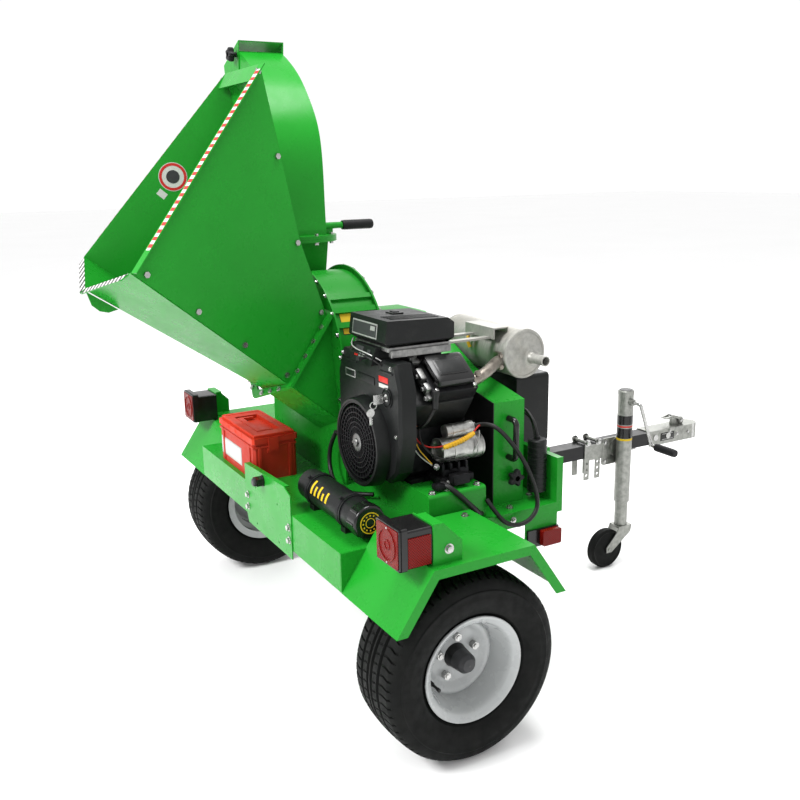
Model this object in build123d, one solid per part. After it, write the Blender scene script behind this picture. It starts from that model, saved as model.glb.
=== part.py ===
from build123d import *
import math
import os

# Towable wood chipper: trailer chassis, twin-cylinder engine, belt drive, disc rotor,
# feed hopper and swivelling discharge chute.
# Millimetres. +Z is up, +Y points to the tow hitch, +X to the right-hand wheel.
# The parts are drawn with Y = 0 on the axle line and moved to the origin when saved.

os.makedirs("parts", exist_ok=True)

# ---------------------------------------------------------------- driving dimensions
REAR_END = -711.0           # rearmost point of the hopper lip
FRONT_END = 1627.5          # nose of the coupler
HALF_WIDTH = 860.0          # outside of the fenders

TYRE_RADIUS = 260.0
TYRE_HALF_SECTION = 104.0
RIM_FLANGE_RADIUS = 146.5
BEAD_RADIUS = 127.0
WHEEL_X = 724.0             # wheel centre plane
SPINDLE_RADIUS = 17.5
RUNNING_GAP = 0.05          # radial clearance of a shaft in its hole
BODY_GAP = 0.3              # gap between curved faces of two bodies
LUG_CIRCLE_RADIUS = 57.15
LUG_COUNT = 5

SHEET = 3.0                 # hopper and housing sheet
DECK_TOP = 548.0
DECK_SHEET = 4.0
DECK_HALF_WIDTH = 565.0
DECK_REAR = -253.0
DECK_FRONT = 457.0
APRON_BOTTOM = 438.0
WALL_TOP = 685.0
FENDER_TOP = 589.0
FENDER_BOTTOM = 437.0
FENDER_TOP_HALF = 148.5
FENDER_FOOT_HALF = 253.0

TONGUE_HALF_WIDTH = 32.0
TONGUE_TOP = 490.0
TONGUE_BOTTOM = 440.0
TONGUE_WALL = 5.0
AXLE_HALF = 25.0            # half of the square axle tube
AXLE_TOP = TYRE_RADIUS + AXLE_HALF

ENGINE_X = 300.0
CRANK_Z = 750.0
ENGINE_BASE = 641.0
FAN_RADIUS = 112.0
FAN_REAR = -62.0            # plane of the fan screen
SHROUD_REAR = -24.0
ROTOR_X = -195.0
ROTOR_Z = 915.0
HOUSING_REAR = 0.0
HOUSING_FRONT = 160.0
HOUSING_RADIUS = 290.0
SKIN_RADIUS = 275.0
DISC_RADIUS = 255.0
SHAFT_RADIUS = 20.0
BELT_Y = 352.0              # middle plane of the belt drive
ENGINE_PULLEY_RADIUS = 62.0
ROTOR_PULLEY_RADIUS = 110.0
GUARD_REAR = 280.0
GUARD_FRONT = 390.0

CHUTE_X = -393.0            # swivel axis of the discharge chute
CHUTE_Y = 75.0
CHUTE_BASE = 1296.0
CHUTE_HALF_Y = 80.0
CHUTE_HALF_X = 75.0

HOPPER_X = -90.0            # middle plane of the hopper
JACK_X = 70.0               # jack tube axis
JACK_Y = 1187.0
JACK_PIVOT_Z = 465.0
CASTER_TRAIL = 76.0
CASTER_RADIUS = 76.0

TO_ORIGIN = Location((0, -(REAR_END + FRONT_END) / 2, 0))
DIRECTION = {"x": Vector(1, 0, 0), "y": Vector(0, 1, 0), "z": Vector(0, 0, 1)}


# ---------------------------------------------------------------- drawing helpers
def block(x, y, z):
    """Box between the low and high values in x, y and z."""
    size = [high - low for low, high in (x, y, z)]
    middle = [(low + high) / 2 for low, high in (x, y, z)]
    return Pos(*middle) * Box(*size)


def rod(start, end, radius):
    """Round bar from start to end."""
    along = Vector(*end) - Vector(*start)
    return extrude(Plane(origin=start, z_dir=along) * Circle(radius), amount=along.length)


def pipe(start, end, outer, inner):
    """Round tube from start to end."""
    along = Vector(*end) - Vector(*start)
    ring = Circle(outer) - Circle(inner)
    return extrude(Plane(origin=start, z_dir=along) * ring, amount=along.length)


def box_tube(x, y, z, wall, along):
    """Square tube: a block hollowed along one axis."""
    inner = {"x": x, "y": y, "z": z}
    for name in inner:
        low, high = inner[name]
        inner[name] = (low - 1, high + 1) if name == along else (low + wall, high - wall)
    return block(x, y, z) - block(inner["x"], inner["y"], inner["z"])


def slab(axis, outline, low, high):
    """Flat shape with an outline in the other two axes, from low to high along axis."""
    place = {"x": lambda a, b: (low, a, b), "y": lambda a, b: (a, low, b), "z": lambda a, b: (a, b, low)}
    face = Face(Wire.make_polygon([place[axis](a, b) for a, b in outline]))
    return extrude(face, amount=high - low, dir=DIRECTION[axis])


def panel(corners, thickness, side):
    """Flat sheet on the plane of its first three corners, thickened towards side."""
    first, second, third = [Vector(*corner) for corner in corners[:3]]
    normal = (second - first).cross(third - first).normalized()
    flat = [Vector(*corner) - normal * (Vector(*corner) - first).dot(normal) for corner in corners]
    face = Face(Wire.make_polygon(flat))
    if normal.dot(Vector(*side)) < 0:
        normal = normal * -1
    return extrude(face, amount=thickness, dir=normal)


def turned(outline, axis_point, axis):
    """Solid of revolution: outline of (along, radius) points about an axis through a point."""
    plane = Plane(origin=axis_point, x_dir=axis, z_dir=Vector(*axis).cross(side_of(axis)))
    face = Face(Wire.make_polygon([plane.from_local_coords((a, r)) for a, r in outline]))
    return revolve(face, Axis(axis_point, axis), 360)


def side_of(axis):
    """A direction square to a main axis."""
    return Vector(0, 0, 1) if abs(axis[2]) < 0.5 else Vector(1, 0, 0)


def around(count, radius, start=0.0):
    """Evenly spaced points on a circle, as (a, b) pairs."""
    turns = [math.radians(start + 360 * i / count) for i in range(count)]
    return [(radius * math.cos(turn), radius * math.sin(turn)) for turn in turns]


def hex_bolt(base, along, radius, height):
    """Hexagon bolt head or nut standing on base."""
    plane = Plane(origin=base, z_dir=along)
    return extrude(plane * RegularPolygon(radius, 6), amount=height)


def hose(points, radius):
    """Hose of straight runs joined by tangent arcs; returns the solid and its bend radii."""
    route = [Vector(*p) for p in points]
    runs = [(b - a).length for a, b in zip(route, route[1:])]
    radii = []
    for i in range(1, len(route) - 1):
        turn = (route[i] - route[i - 1]).get_angle(route[i + 1] - route[i])
        radii.append(0.45 * min(runs[i - 1], runs[i]) / math.tan(math.radians(turn / 2)))
    path = FilletPolyline(*points, radius=radii)
    section = Plane(origin=points[0], z_dir=route[1] - route[0]) * Circle(radius)
    return sweep(section, path=path), radii


def mirrored(shape):
    """The same part on the other side of the middle plane."""
    return mirror(shape, about=Plane.YZ)


def save(node, *pieces):
    """Write one sub-part; every piece stays a separate solid."""
    solids = [solid.moved(TO_ORIGIN) for piece in pieces for solid in piece.solids()]
    export_step(Compound(solids), "parts/" + node + ".step")


# ---------------------------------------------------------------- wheels and axle
def make_tyre(x):
    outer = [(-75, BEAD_RADIUS + 0.2), (-75, 152), (-98, 170), (-TYRE_HALF_SECTION, 200),
             (-99, 236), (-80, 256), (-55, TYRE_RADIUS)]
    outer += [(-a, r) for a, r in reversed(outer)]
    inner = [(-62, BEAD_RADIUS - 1), (-62, 156), (-90, 176), (-95, 202), (-88, 236), (-70, 246)]
    inner += [(-a, r) for a, r in reversed(inner)]
    middle = (x, 0, TYRE_RADIUS)
    return turned(outer, middle, (1, 0, 0)) - turned(inner, middle, (1, 0, 0))


def make_rim(x, outward):
    half = 88.0
    face = [(-half, RIM_FLANGE_RADIUS), (-half + 4, RIM_FLANGE_RADIUS), (-77, 131), (-77, BEAD_RADIUS),
            (-48, BEAD_RADIUS), (-36, 110), (30, 110), (46, BEAD_RADIUS), (77, BEAD_RADIUS),
            (77, 131), (half - 4, RIM_FLANGE_RADIUS), (half, RIM_FLANGE_RADIUS)]
    back = [(84, 134), (82, 122), (49, 122), (33, 105), (-39, 105), (-51, 122), (-82, 122), (-84, 134)]
    middle = (x, 0, TYRE_RADIUS)
    barrel = turned(face + back, middle, (1, 0, 0))
    disc = [(-9, 34), (-4, 34), (-4, 76), (12, 88), (12, 105.5), (7, 105.5), (7, 91), (-9, 80)]
    centre = turned([(outward * a, r) for a, r in disc], middle, (1, 0, 0))
    for y, z in around(LUG_COUNT, LUG_CIRCLE_RADIUS, 90):
        hole = rod((x - 20, y, TYRE_RADIUS + z), (x + 20, y, TYRE_RADIUS + z), 7.0)
        centre = centre - hole
    return barrel + centre


def make_hub(x, outward):
    """Hub, grease cap, studs and lug nuts as separate solids."""
    middle = (x, 0, TYRE_RADIUS)
    bore = SPINDLE_RADIUS + RUNNING_GAP
    body = [(-70, bore), (-70, 36), (-24, 36), (-24, 74), (-9, 74), (-9, 33.5), (22, 30), (22, bore)]
    cap = [(22, 0), (22, 30), (52, 27), (64, 18), (67, 0)]
    pieces = [turned([(outward * a, r) for a, r in body], middle, (1, 0, 0)),
              turned([(outward * a, r) for a, r in cap], middle, (1, 0, 0))]
    for y, z in around(LUG_COUNT, LUG_CIRCLE_RADIUS, 90):
        seat = (x - outward * 4, y, TYRE_RADIUS + z)
        stud_end = (x + outward * 16, y, TYRE_RADIUS + z)
        root = (x - outward * 9, y, TYRE_RADIUS + z)
        nut = hex_bolt(seat, (outward, 0, 0), 11.0, 17.0)
        pieces.append(nut + rod(root, stud_end, 6.0))
    return pieces


for side_name, outward in (("left", -1), ("right", 1)):
    save("tyre_" + side_name, make_tyre(outward * WHEEL_X))
    save("rim_" + side_name, make_rim(outward * WHEEL_X, outward))
    save("hub_" + side_name, *make_hub(outward * WHEEL_X, outward))

axle = box_tube((-600, 600), (-AXLE_HALF, AXLE_HALF), (TYRE_RADIUS - AXLE_HALF, AXLE_TOP), 6, "x")
spindles = [axle]
for outward in (-1, 1):
    inner_end = (outward * 594, 0, TYRE_RADIUS)
    outer_end = (outward * (WHEEL_X + 18), 0, TYRE_RADIUS)
    plug = block(sorted((outward * 594, outward * 606)), (-AXLE_HALF, AXLE_HALF),
                 (TYRE_RADIUS - AXLE_HALF, AXLE_TOP))
    spindles.append(rod(inner_end, outer_end, SPINDLE_RADIUS) + plug)
save("axle_beam", spindles[0] + spindles[1] + spindles[2])


# ---------------------------------------------------------------- chassis
CROSS_TUBE = 50.0
STAND_X = 480.0
tongue = box_tube((-TONGUE_HALF_WIDTH, TONGUE_HALF_WIDTH), (-215, 1375),
                  (TONGUE_BOTTOM, TONGUE_TOP), TONGUE_WALL, "y")
frame_pieces = [tongue]
for y in (-190, 0, 415):
    frame_pieces.append(box_tube((-DECK_HALF_WIDTH + 8, DECK_HALF_WIDTH - 8),
                                 (y - CROSS_TUBE / 2, y + CROSS_TUBE / 2),
                                 (TONGUE_TOP, DECK_TOP - DECK_SHEET), TONGUE_WALL, "x"))
for x in (-STAND_X, STAND_X):
    frame_pieces.append(box_tube((x - 35, x + 35), (-25, 25), (AXLE_TOP, TONGUE_TOP), 5, "z"))
save("chassis_frame", *frame_pieces)


def make_deck_pan():
    """Deck sheet with rear apron, side skirts, front wall and the fuel tank shelf."""
    half = DECK_HALF_WIDTH
    front = DECK_FRONT + DECK_SHEET
    pan = block((-half, half), (DECK_REAR, front), (DECK_TOP - DECK_SHEET, DECK_TOP))
    pan += block((-half, half), (DECK_REAR, DECK_REAR + DECK_SHEET), (APRON_BOTTOM, DECK_TOP))
    pan += block((-half, half), (DECK_FRONT, front), (517, WALL_TOP))
    for outward in (-1, 1):
        skirt = sorted((outward * half, outward * (half - DECK_SHEET)))
        pan += block(skirt, (DECK_REAR, front), (500, DECK_TOP))
        pan += block(skirt, (345, front), (425, DECK_TOP))
        pan += block(skirt, (DECK_FRONT, DECK_FRONT + 22), (517, WALL_TOP))
    pan += block((-half, half), (DECK_FRONT, DECK_FRONT + 20), (WALL_TOP - 3, WALL_TOP))
    shelf_x = (-240, 335)
    pan += block(shelf_x, (DECK_FRONT, 615), (628, 632))
    pan += block(shelf_x, (611, 615), (606, 632))
    for x in shelf_x:
        edge = sorted((x, x - math.copysign(4, x)))
        pan += slab("x", [(DECK_FRONT, 517), (DECK_FRONT, 632), (615, 632), (615, 606)], *edge)
    return pan


save("deck_pan", make_deck_pan())


def fender_outline(inset, foot):
    """Trapezoid fender profile, moved inwards by inset, with its feet at height foot."""
    slope = (FENDER_FOOT_HALF - FENDER_TOP_HALF) / (FENDER_TOP - FENDER_BOTTOM)
    shift = inset * math.sqrt(1 + slope * slope)
    top = FENDER_TOP - inset

    def half_at(z):
        return FENDER_TOP_HALF + (FENDER_TOP - z) * slope - shift

    return [(-half_at(foot), foot), (-half_at(top), top), (half_at(top), top), (half_at(foot), foot)]


def make_fender():
    lip = 25.0
    inner_x = DECK_HALF_WIDTH
    shell = slab("x", fender_outline(0, FENDER_BOTTOM), inner_x, HALF_WIDTH)
    shell -= slab("x", fender_outline(DECK_SHEET, FENDER_BOTTOM - 60), inner_x + 4, HALF_WIDTH - 4)
    shell -= slab("x", fender_outline(lip, FENDER_BOTTOM - 60), HALF_WIDTH - 5, HALF_WIDTH + 1)
    return shell


fender = make_fender()
save("fender_right", fender)
save("fender_left", mirrored(fender))


# ---------------------------------------------------------------- lamps and plate bracket
LAMP_X = 782.0
LAMP_Z = 646.0


def make_lamp_body():
    """Tail lamp case, with its open mounting bracket, on the right-hand side."""
    case = block((LAMP_X - 52, LAMP_X + 50), (-216, -136), (592, 690))
    case += block((LAMP_X - 58, LAMP_X + 57), (-224, -208), (592, 700))
    case = fillet(case.edges().filter_by(Axis.Y), 6)
    back = block((740, 836), (-136, -132), (FENDER_TOP, 694))
    back += slab("x", [(-136, FENDER_TOP), (-136, 694), (-108, 694), (-54, 640), (-54, FENDER_TOP)], 832,
                 836)
    back += block((752, 836), (-136, -108), (690, 694))
    back += block((790, 836), (-136, -54), (FENDER_TOP, FENDER_TOP + 4))
    back += hex_bolt((836, -92, 625), (1, 0, 0), 9, 6)
    return case, back


def make_tail_lenses():
    rear = fillet(block((LAMP_X - 52, LAMP_X + 51), (-232, -224), (598, 694)).edges().filter_by(Axis.Y), 8)
    side = block((LAMP_X + 50, LAMP_X + 54), (-205, -142), (598, 672))
    return rear, side


lamp_case, lamp_bracket = make_lamp_body()
tail_lens, side_lens = make_tail_lenses()
marker_case = block((565, 573), (350, 461), (427, 480))
marker_lens = fillet(block((573, 590), (392, 459), (430, 477)).edges().filter_by(Axis.X), 5)
lamp_pieces = [lamp_case, lamp_bracket, marker_case]
lens_pieces = [tail_lens, side_lens, marker_lens]
save("lamp_housings", *lamp_pieces, *[mirrored(p) for p in lamp_pieces])
save("lamp_lenses", *lens_pieces, *[mirrored(p) for p in lens_pieces])

PLATE_X = 60.0
PLATE_Z = 491.0
PLATE_HOLES_X = 177.8
PLATE_HOLES_Z = 120.65
bracket_outline = [(-103, 412), (248, 412), (250, 606), (206, 624), (-117, 608), (-123, 453)]
plate_bracket = slab("y", bracket_outline, DECK_REAR - SHEET, DECK_REAR)
plate_bracket += slab("y", [(-117, 605), (206, 621), (206, 624), (-117, 608)],
                      DECK_REAR - SHEET, DECK_REAR + 14)
for x in (PLATE_X - PLATE_HOLES_X / 2, PLATE_X + PLATE_HOLES_X / 2):
    for z in (PLATE_Z - PLATE_HOLES_Z / 2, PLATE_Z + PLATE_HOLES_Z / 2):
        plate_bracket -= rod((x, DECK_REAR - 10, z), (x, DECK_REAR + 1, z), 3.5)
bracket_bolts = [hex_bolt((x, DECK_REAR - SHEET, z), (0, -1, 0), 8, 6)
                 for x in (-100, 232) for z in (467, 507)]
plate_lamp = block((22, 54), (DECK_REAR - SHEET - 26, DECK_REAR - SHEET), (582, 604))
save("plate_bracket", plate_bracket, *bracket_bolts, plate_lamp)


# ---------------------------------------------------------------- engine
PEDESTAL_RIGHT = 545.0


def make_pedestal():
    """Folded box on the deck that carries the engine."""
    outside = block((112, PEDESTAL_RIGHT), (30, 218), (DECK_TOP, ENGINE_BASE))
    outside = fillet(outside.edges().filter_by(Axis.Y).group_by(Axis.Z)[-1], 10)
    return outside - block((116, PEDESTAL_RIGHT - 4), (34, 214), (DECK_TOP - 1, ENGINE_BASE - 5))


save("engine_pedestal", make_pedestal())

CRANK_RADIUS = 18.0
CYLINDER_TILT = 36.0


def make_crankcase():
    """Hollow crankcase with its feet, bored for the crankshaft."""
    case = block((ENGINE_X - 120, ENGINE_X + 120), (30, 228), (ENGINE_BASE, 850))
    case = chamfer(case.edges().filter_by(Axis.Y), 30)
    case += block((ENGINE_X - 130, ENGINE_X + 130), (40, 218), (ENGINE_BASE, ENGINE_BASE + 14))
    case -= block((ENGINE_X - 105, ENGINE_X + 105), (42, 216), (ENGINE_BASE + 15, 826))
    return case - rod((ENGINE_X, 0, CRANK_Z), (ENGINE_X, 260, CRANK_Z), CRANK_RADIUS + RUNNING_GAP)


def make_cylinder(tilt):
    """Finned barrel, head and valve cover of one cylinder, leaning by tilt about the crank axis."""
    y = 150.0
    barrel = pipe((0, y, 124), (0, y, 205), 50, 40)
    for i in range(5):
        z = 132 + i * 15
        barrel += block((-60, 60), (y - 66, y + 66), (z, z + 5)) - rod((0, y, z - 1), (0, y, z + 6), 41)
    head = block((-60, 60), (y - 68, y + 68), (205, 249)) - block((-48, 48), (y - 56, y + 56), (204, 238))
    cover = fillet(block((-50, 50), (y - 62, y + 62), (249, 275)).edges().filter_by(Axis.Z), 16)
    place = Pos(ENGINE_X, 0, CRANK_Z) * Rot(0, tilt, 0)
    return [place * barrel, place * head, place * cover]


def make_starter():
    """Starter motor with its solenoid, low on the right side of the crankcase."""
    motor = rod((ENGINE_X + 156, 118, 735), (ENGINE_X + 156, 248, 735), 36)
    solenoid = rod((ENGINE_X + 162, 132, 791), (ENGINE_X + 162, 222, 791), 19)
    foot = block((ENGINE_X + 119, ENGINE_X + 150), (130, 170), (712, 760))
    return motor + foot, solenoid


save("engine_block", make_crankcase(), *make_cylinder(CYLINDER_TILT), *make_cylinder(-CYLINDER_TILT),
     *make_starter())


def make_blower_housing():
    """Cooling shroud behind the engine with a round opening for the fan screen."""
    half = 186.0
    wings = [(-110, 650), (110, 650), (160, 690), (half, 780), (half, 930), (half - 26, 1000),
             (-half + 30, 1000),
             (-half, 930), (-half, 780), (-160, 690)]
    outline = [(ENGINE_X + x, z) for x, z in wings]
    shroud = slab("y", outline, SHROUD_REAR, 28)
    shroud = chamfer(shroud.edges().group_by(Axis.Y)[0], 8)
    shroud += rod((ENGINE_X, FAN_REAR, CRANK_Z), (ENGINE_X, SHROUD_REAR + 8, CRANK_Z), FAN_RADIUS + 12)
    hollow = [(ENGINE_X + 0.97 * x, 825 + 0.97 * (z - 825)) for x, z in wings]
    shroud -= slab("y", hollow, SHROUD_REAR + 5, 29)
    return shroud - rod((ENGINE_X, FAN_REAR - 9, CRANK_Z), (ENGINE_X, 0, CRANK_Z), FAN_RADIUS + 3)


def make_control_panel():
    """Console between the shroud and the air cleaner."""
    side = [(SHROUD_REAR - 26, 985), (SHROUD_REAR - 10, 1034), (28, 1034), (28, 1000), (SHROUD_REAR, 1000),
            (SHROUD_REAR, 985)]
    return slab("x", side, ENGINE_X - 55, ENGINE_X + 75)


save("blower_housing", make_blower_housing(), make_control_panel())

AIR_TOP = 1112.0
air_side = [(-30, 1052), (-8, 1036), (180, 1036), (192, 1050), (192, 1092), (172, AIR_TOP - 6),
            (-22, AIR_TOP)]
air_cover = slab("x", air_side, 205, 422)
air_cover = chamfer(air_cover.edges().filter_by(Axis.Y).group_by(Axis.Z)[-1], 12)
air_inside = [(y * 0.97 + 2, 1036 + (z - 1036) * 0.94) for y, z in air_side]
air_cover -= slab("x", air_inside, 209, 418) & block((209, 418), (-100, 300), (1036, 1108))
save("air_cleaner_cover", air_cover)

KEY_X = 418.0
KEY_Z = 900.0
key_face = SHROUD_REAR - BODY_GAP
key = rod((KEY_X, key_face - 4, KEY_Z), (KEY_X, key_face, KEY_Z), 11)
key += rod((KEY_X, key_face - 16, KEY_Z), (KEY_X, key_face - 3, KEY_Z), 5)
key += block((KEY_X - 1.5, KEY_X + 1.5), (key_face - 42, key_face - 12), (KEY_Z - 13, KEY_Z + 13))
save("ignition_key", key)

LEVER_X = 345.0
LEVER_Z = 1004.0
lever_face = SHROUD_REAR - 24.5
throttle = rod((LEVER_X, lever_face - 18, LEVER_Z), (LEVER_X, lever_face, LEVER_Z), 4)
throttle += block((LEVER_X - 9, LEVER_X + 9), (lever_face - 27, lever_face - 16),
                  (LEVER_Z - 5, LEVER_Z + 5))
save("throttle_lever", throttle)

crankshaft = rod((ENGINE_X, 0, CRANK_Z), (ENGINE_X, 375, CRANK_Z), CRANK_RADIUS)


def make_pulley(x, z, radius, bore):
    """Three-groove V-belt pulley."""
    half = 33.0
    outline = [(-half, bore), (-half, radius)]
    for i in range(3):
        start = -half + 5 + i * 19.5
        outline += [(start, radius), (start + 4, radius - 13), (start + 13, radius - 13),
                    (start + 17, radius)]
    outline += [(half, radius), (half, bore)]
    return turned(outline, (x, BELT_Y, z), (0, 1, 0))


crankshaft += make_pulley(ENGINE_X, CRANK_Z, ENGINE_PULLEY_RADIUS, CRANK_RADIUS - 1)
save("crankshaft", crankshaft)


def make_fan_screen():
    """Flywheel with the slotted debris screen and its silver hub."""
    plate = rod((ENGINE_X, FAN_REAR + 2, CRANK_Z), (ENGINE_X, FAN_REAR + 6, CRANK_Z), FAN_RADIUS)
    for radius in (52, 72, 92):
        for x, z in around(8, radius, radius):
            plate -= block((ENGINE_X + x - 5, ENGINE_X + x + 5), (FAN_REAR, FAN_REAR + 8),
                           (CRANK_Z + z - 5, CRANK_Z + z + 5))
    wheel = rod((ENGINE_X, FAN_REAR + 6, CRANK_Z), (ENGINE_X, -14, CRANK_Z), 44)
    hub_cap = rod((ENGINE_X, FAN_REAR - 5, CRANK_Z), (ENGINE_X, FAN_REAR + 2, CRANK_Z), 17)
    boss = rod((ENGINE_X, -14, CRANK_Z), (ENGINE_X, 0, CRANK_Z), 30)
    return plate + wheel + hub_cap + boss


save("fan_screen", make_fan_screen())

MUFFLER_Y = 474.0
MUFFLER_Z = 962.0
MUFFLER_RADIUS = 75.0
MUFFLER_RIGHT = 378.0
muffler = rod((20, MUFFLER_Y, MUFFLER_Z), (MUFFLER_RIGHT, MUFFLER_Y, MUFFLER_Z), MUFFLER_RADIUS)
muffler = fillet(muffler.edges(), 12)
muffler -= rod((28, MUFFLER_Y, MUFFLER_Z), (MUFFLER_RIGHT - 8, MUFFLER_Y, MUFFLER_Z), MUFFLER_RADIUS - 6)
OUTLET_Y = MUFFLER_Y + 25
OUTLET_Z = MUFFLER_Z - 15
outlet = turned([(0, 12.5), (0, 27), (5, 19), (14, 15), (70, 15), (70, 12.5)],
                (MUFFLER_RIGHT, OUTLET_Y, OUTLET_Z),
                (1, 0, 0))
MANIFOLD_ROUTE = [(425, 220, 905), (432, 268, 922), (414, 318, 938), (378, 362, 944), (350, 398, 944)]
manifold = hose(MANIFOLD_ROUTE, 17)[0]
channel_top = MUFFLER_Z + MUFFLER_RADIUS + 6
channel = block((190, 342), (MUFFLER_Y - 90, MUFFLER_Y - 36), (channel_top - 4, channel_top))
channel += block((190, 342), (MUFFLER_Y - 90, MUFFLER_Y - 86), (channel_top - 34, channel_top))
channel += block((190, 342), (MUFFLER_Y - 40, MUFFLER_Y - 36), (channel_top - 17, channel_top))
bracket_arms = [block((x, x + 24), (225, MUFFLER_Y - 88),
                      (channel_top - 34, channel_top - 28)) for x in (215, 300)]
bracket_arms += [block((x, x + 24), (219, 225), (1002, channel_top - 28)) for x in (215, 300)]
save("muffler", muffler, outlet, manifold, channel, *bracket_arms)


# ---------------------------------------------------------------- belt drive
def guard_outline(inset):
    """Belt guard seen along the shafts, moved inwards by inset."""
    return [(-345 + inset, 800 + inset), (-345 + inset, 950), (-250, 1046 - inset), (-60, 1046 - inset),
            (240 - inset * 0.6, 905 - inset), (490 - inset, 857 - inset), (490 - inset, DECK_TOP + inset),
            (150, DECK_TOP + inset)]


shaft_holes = []
for x, z, radius in ((ENGINE_X, CRANK_Z, CRANK_RADIUS), (ROTOR_X, ROTOR_Z, SHAFT_RADIUS)):
    shaft_holes.append(rod((x, GUARD_REAR - 5, z), (x, GUARD_REAR + 8, z), radius + 8))
backplate = slab("y", guard_outline(0), GUARD_REAR, GUARD_REAR + 3)
for hole in shaft_holes:
    backplate -= hole
save("guard_backplate", backplate)

guard = slab("y", guard_outline(0), GUARD_REAR + 3, GUARD_FRONT)
guard -= slab("y", guard_outline(SHEET), GUARD_REAR + 2, GUARD_FRONT - SHEET)
HANDLE_Y = 334.0
grip_route = [(490, HANDLE_Y, 806), (528, HANDLE_Y, 806), (528, HANDLE_Y, 690), (490, HANDLE_Y, 690)]
guard_handle = sweep(Plane(origin=grip_route[0], z_dir=(1, 0, 0)) * Circle(9),
                     path=FilletPolyline(*grip_route, radius=16))
save("guard_cover", guard, guard_handle)

KNOB_Y = 348.0
KNOB_Z = 628.0


def star_knob(base, along, radius, height):
    """Five-lobed knob on a short stem."""
    plane = Plane(origin=base, z_dir=along)
    lobes = [Pos(a, b, 0) * Circle(radius * 0.36) for a, b in around(5, radius * 0.64)]
    outline = Circle(radius * 0.72)
    for lobe in lobes:
        outline += lobe
    stem = extrude(plane * Circle(radius * 0.35), amount=height * 0.4)
    return stem + extrude(plane.offset(height * 0.4) * outline, amount=height * 0.6)


save("guard_knob", star_knob((490 + BODY_GAP, KNOB_Y, KNOB_Z), (1, 0, 0), 27, 30))


def belt_outline(extra):
    """Open loop round both pulleys: the hull of two circles, in X and Z."""
    span = math.hypot(ENGINE_X - ROTOR_X, CRANK_Z - ROTOR_Z)
    lean = math.atan2(CRANK_Z - ROTOR_Z, ENGINE_X - ROTOR_X)
    small = ENGINE_PULLEY_RADIUS + extra
    large = ROTOR_PULLEY_RADIUS + extra
    spread = math.acos((large - small) / span)
    points = []
    for x, z, radius, turn in ((ROTOR_X, ROTOR_Z, large, spread), (ENGINE_X, CRANK_Z, small, spread),
                               (ENGINE_X, CRANK_Z, small, -spread), (ROTOR_X, ROTOR_Z, large, -spread)):
        points.append((x + radius * math.cos(lean + turn), z + radius * math.sin(lean + turn)))
    body = slab("y", points, BELT_Y - 27, BELT_Y + 27)
    for x, z, radius in ((ROTOR_X, ROTOR_Z, large), (ENGINE_X, CRANK_Z, small)):
        body += rod((x, BELT_Y - 27, z), (x, BELT_Y + 27, z), radius)
    return body


save("drive_belt", belt_outline(8) - belt_outline(BODY_GAP))


# ---------------------------------------------------------------- fuel system
TANK_FLOOR = 632.0
FILLER_X = -150.0
FILLER_Y = 545.0
tank_side = [(-235, TANK_FLOOR), (312, TANK_FLOOR), (330, 665), (330, 880), (-235, 880)]
tank = slab("y", tank_side, 482, 608)
tank = fillet(tank.edges().filter_by(Axis.Y), 14)
tank_hollow = slab("y", [(-229, 638), (309, 638), (324, 668), (324, 874), (-229, 874)], 488, 602)
neck = pipe((FILLER_X, FILLER_Y, 874), (FILLER_X, FILLER_Y, 896), 24, 19)
tank = tank - tank_hollow - rod((FILLER_X, FILLER_Y, 870), (FILLER_X, FILLER_Y, 882), 19) + neck
save("fuel_tank", tank)
cap = rod((FILLER_X, FILLER_Y, 896 + BODY_GAP), (FILLER_X, FILLER_Y, 918), 34)
cap += pipe((FILLER_X, FILLER_Y, 884), (FILLER_X, FILLER_Y, 898), 34, 25)
save("fuel_cap", fillet(cap.edges().group_by(Axis.Z)[-1], 4))
vapour_body = fillet(rod((509, 426, 575), (509, 426, 735), 28.5).edges(), 5)
vapour_clip = block((500, 518), (454, DECK_FRONT), (600, 612))
save("vapour_canister", vapour_body + vapour_clip)


# ---------------------------------------------------------------- rotor and housing
BEARING_YS = (192, 248)
shaft = rod((ROTOR_X, 34, ROTOR_Z), (ROTOR_X, 385, ROTOR_Z), SHAFT_RADIUS)
shaft += make_pulley(ROTOR_X, ROTOR_Z, ROTOR_PULLEY_RADIUS, SHAFT_RADIUS - 1)
save("rotor_shaft", shaft)


def make_rotor_disc():
    """Chipper disc with two knives on its feed side and four fan paddles on the far side."""
    disc = pipe((ROTOR_X, 50, ROTOR_Z), (ROTOR_X, 70, ROTOR_Z), DISC_RADIUS, SHAFT_RADIUS)
    hub = pipe((ROTOR_X, 70, ROTOR_Z), (ROTOR_X, 100, ROTOR_Z), 50, SHAFT_RADIUS)
    pieces = [disc + hub]
    centre = Pos(ROTOR_X, 0, ROTOR_Z)
    for turn in (0, 180):
        knife = block((65, 235), (40, 50), (-32, 18))
        knife = chamfer(knife.edges().filter_by(Axis.X).group_by(Axis.Y)[0].sort_by(Axis.Z)[-1], 6)
        pieces.append(centre * Rot(0, turn, 0) * knife)
    for turn in (45, 135, 225, 315):
        pieces.append(centre * Rot(0, turn, 0) * block((110, 250), (70, 140), (-4, 4)))
    return pieces


save("rotor_disc", *make_rotor_disc())


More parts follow.
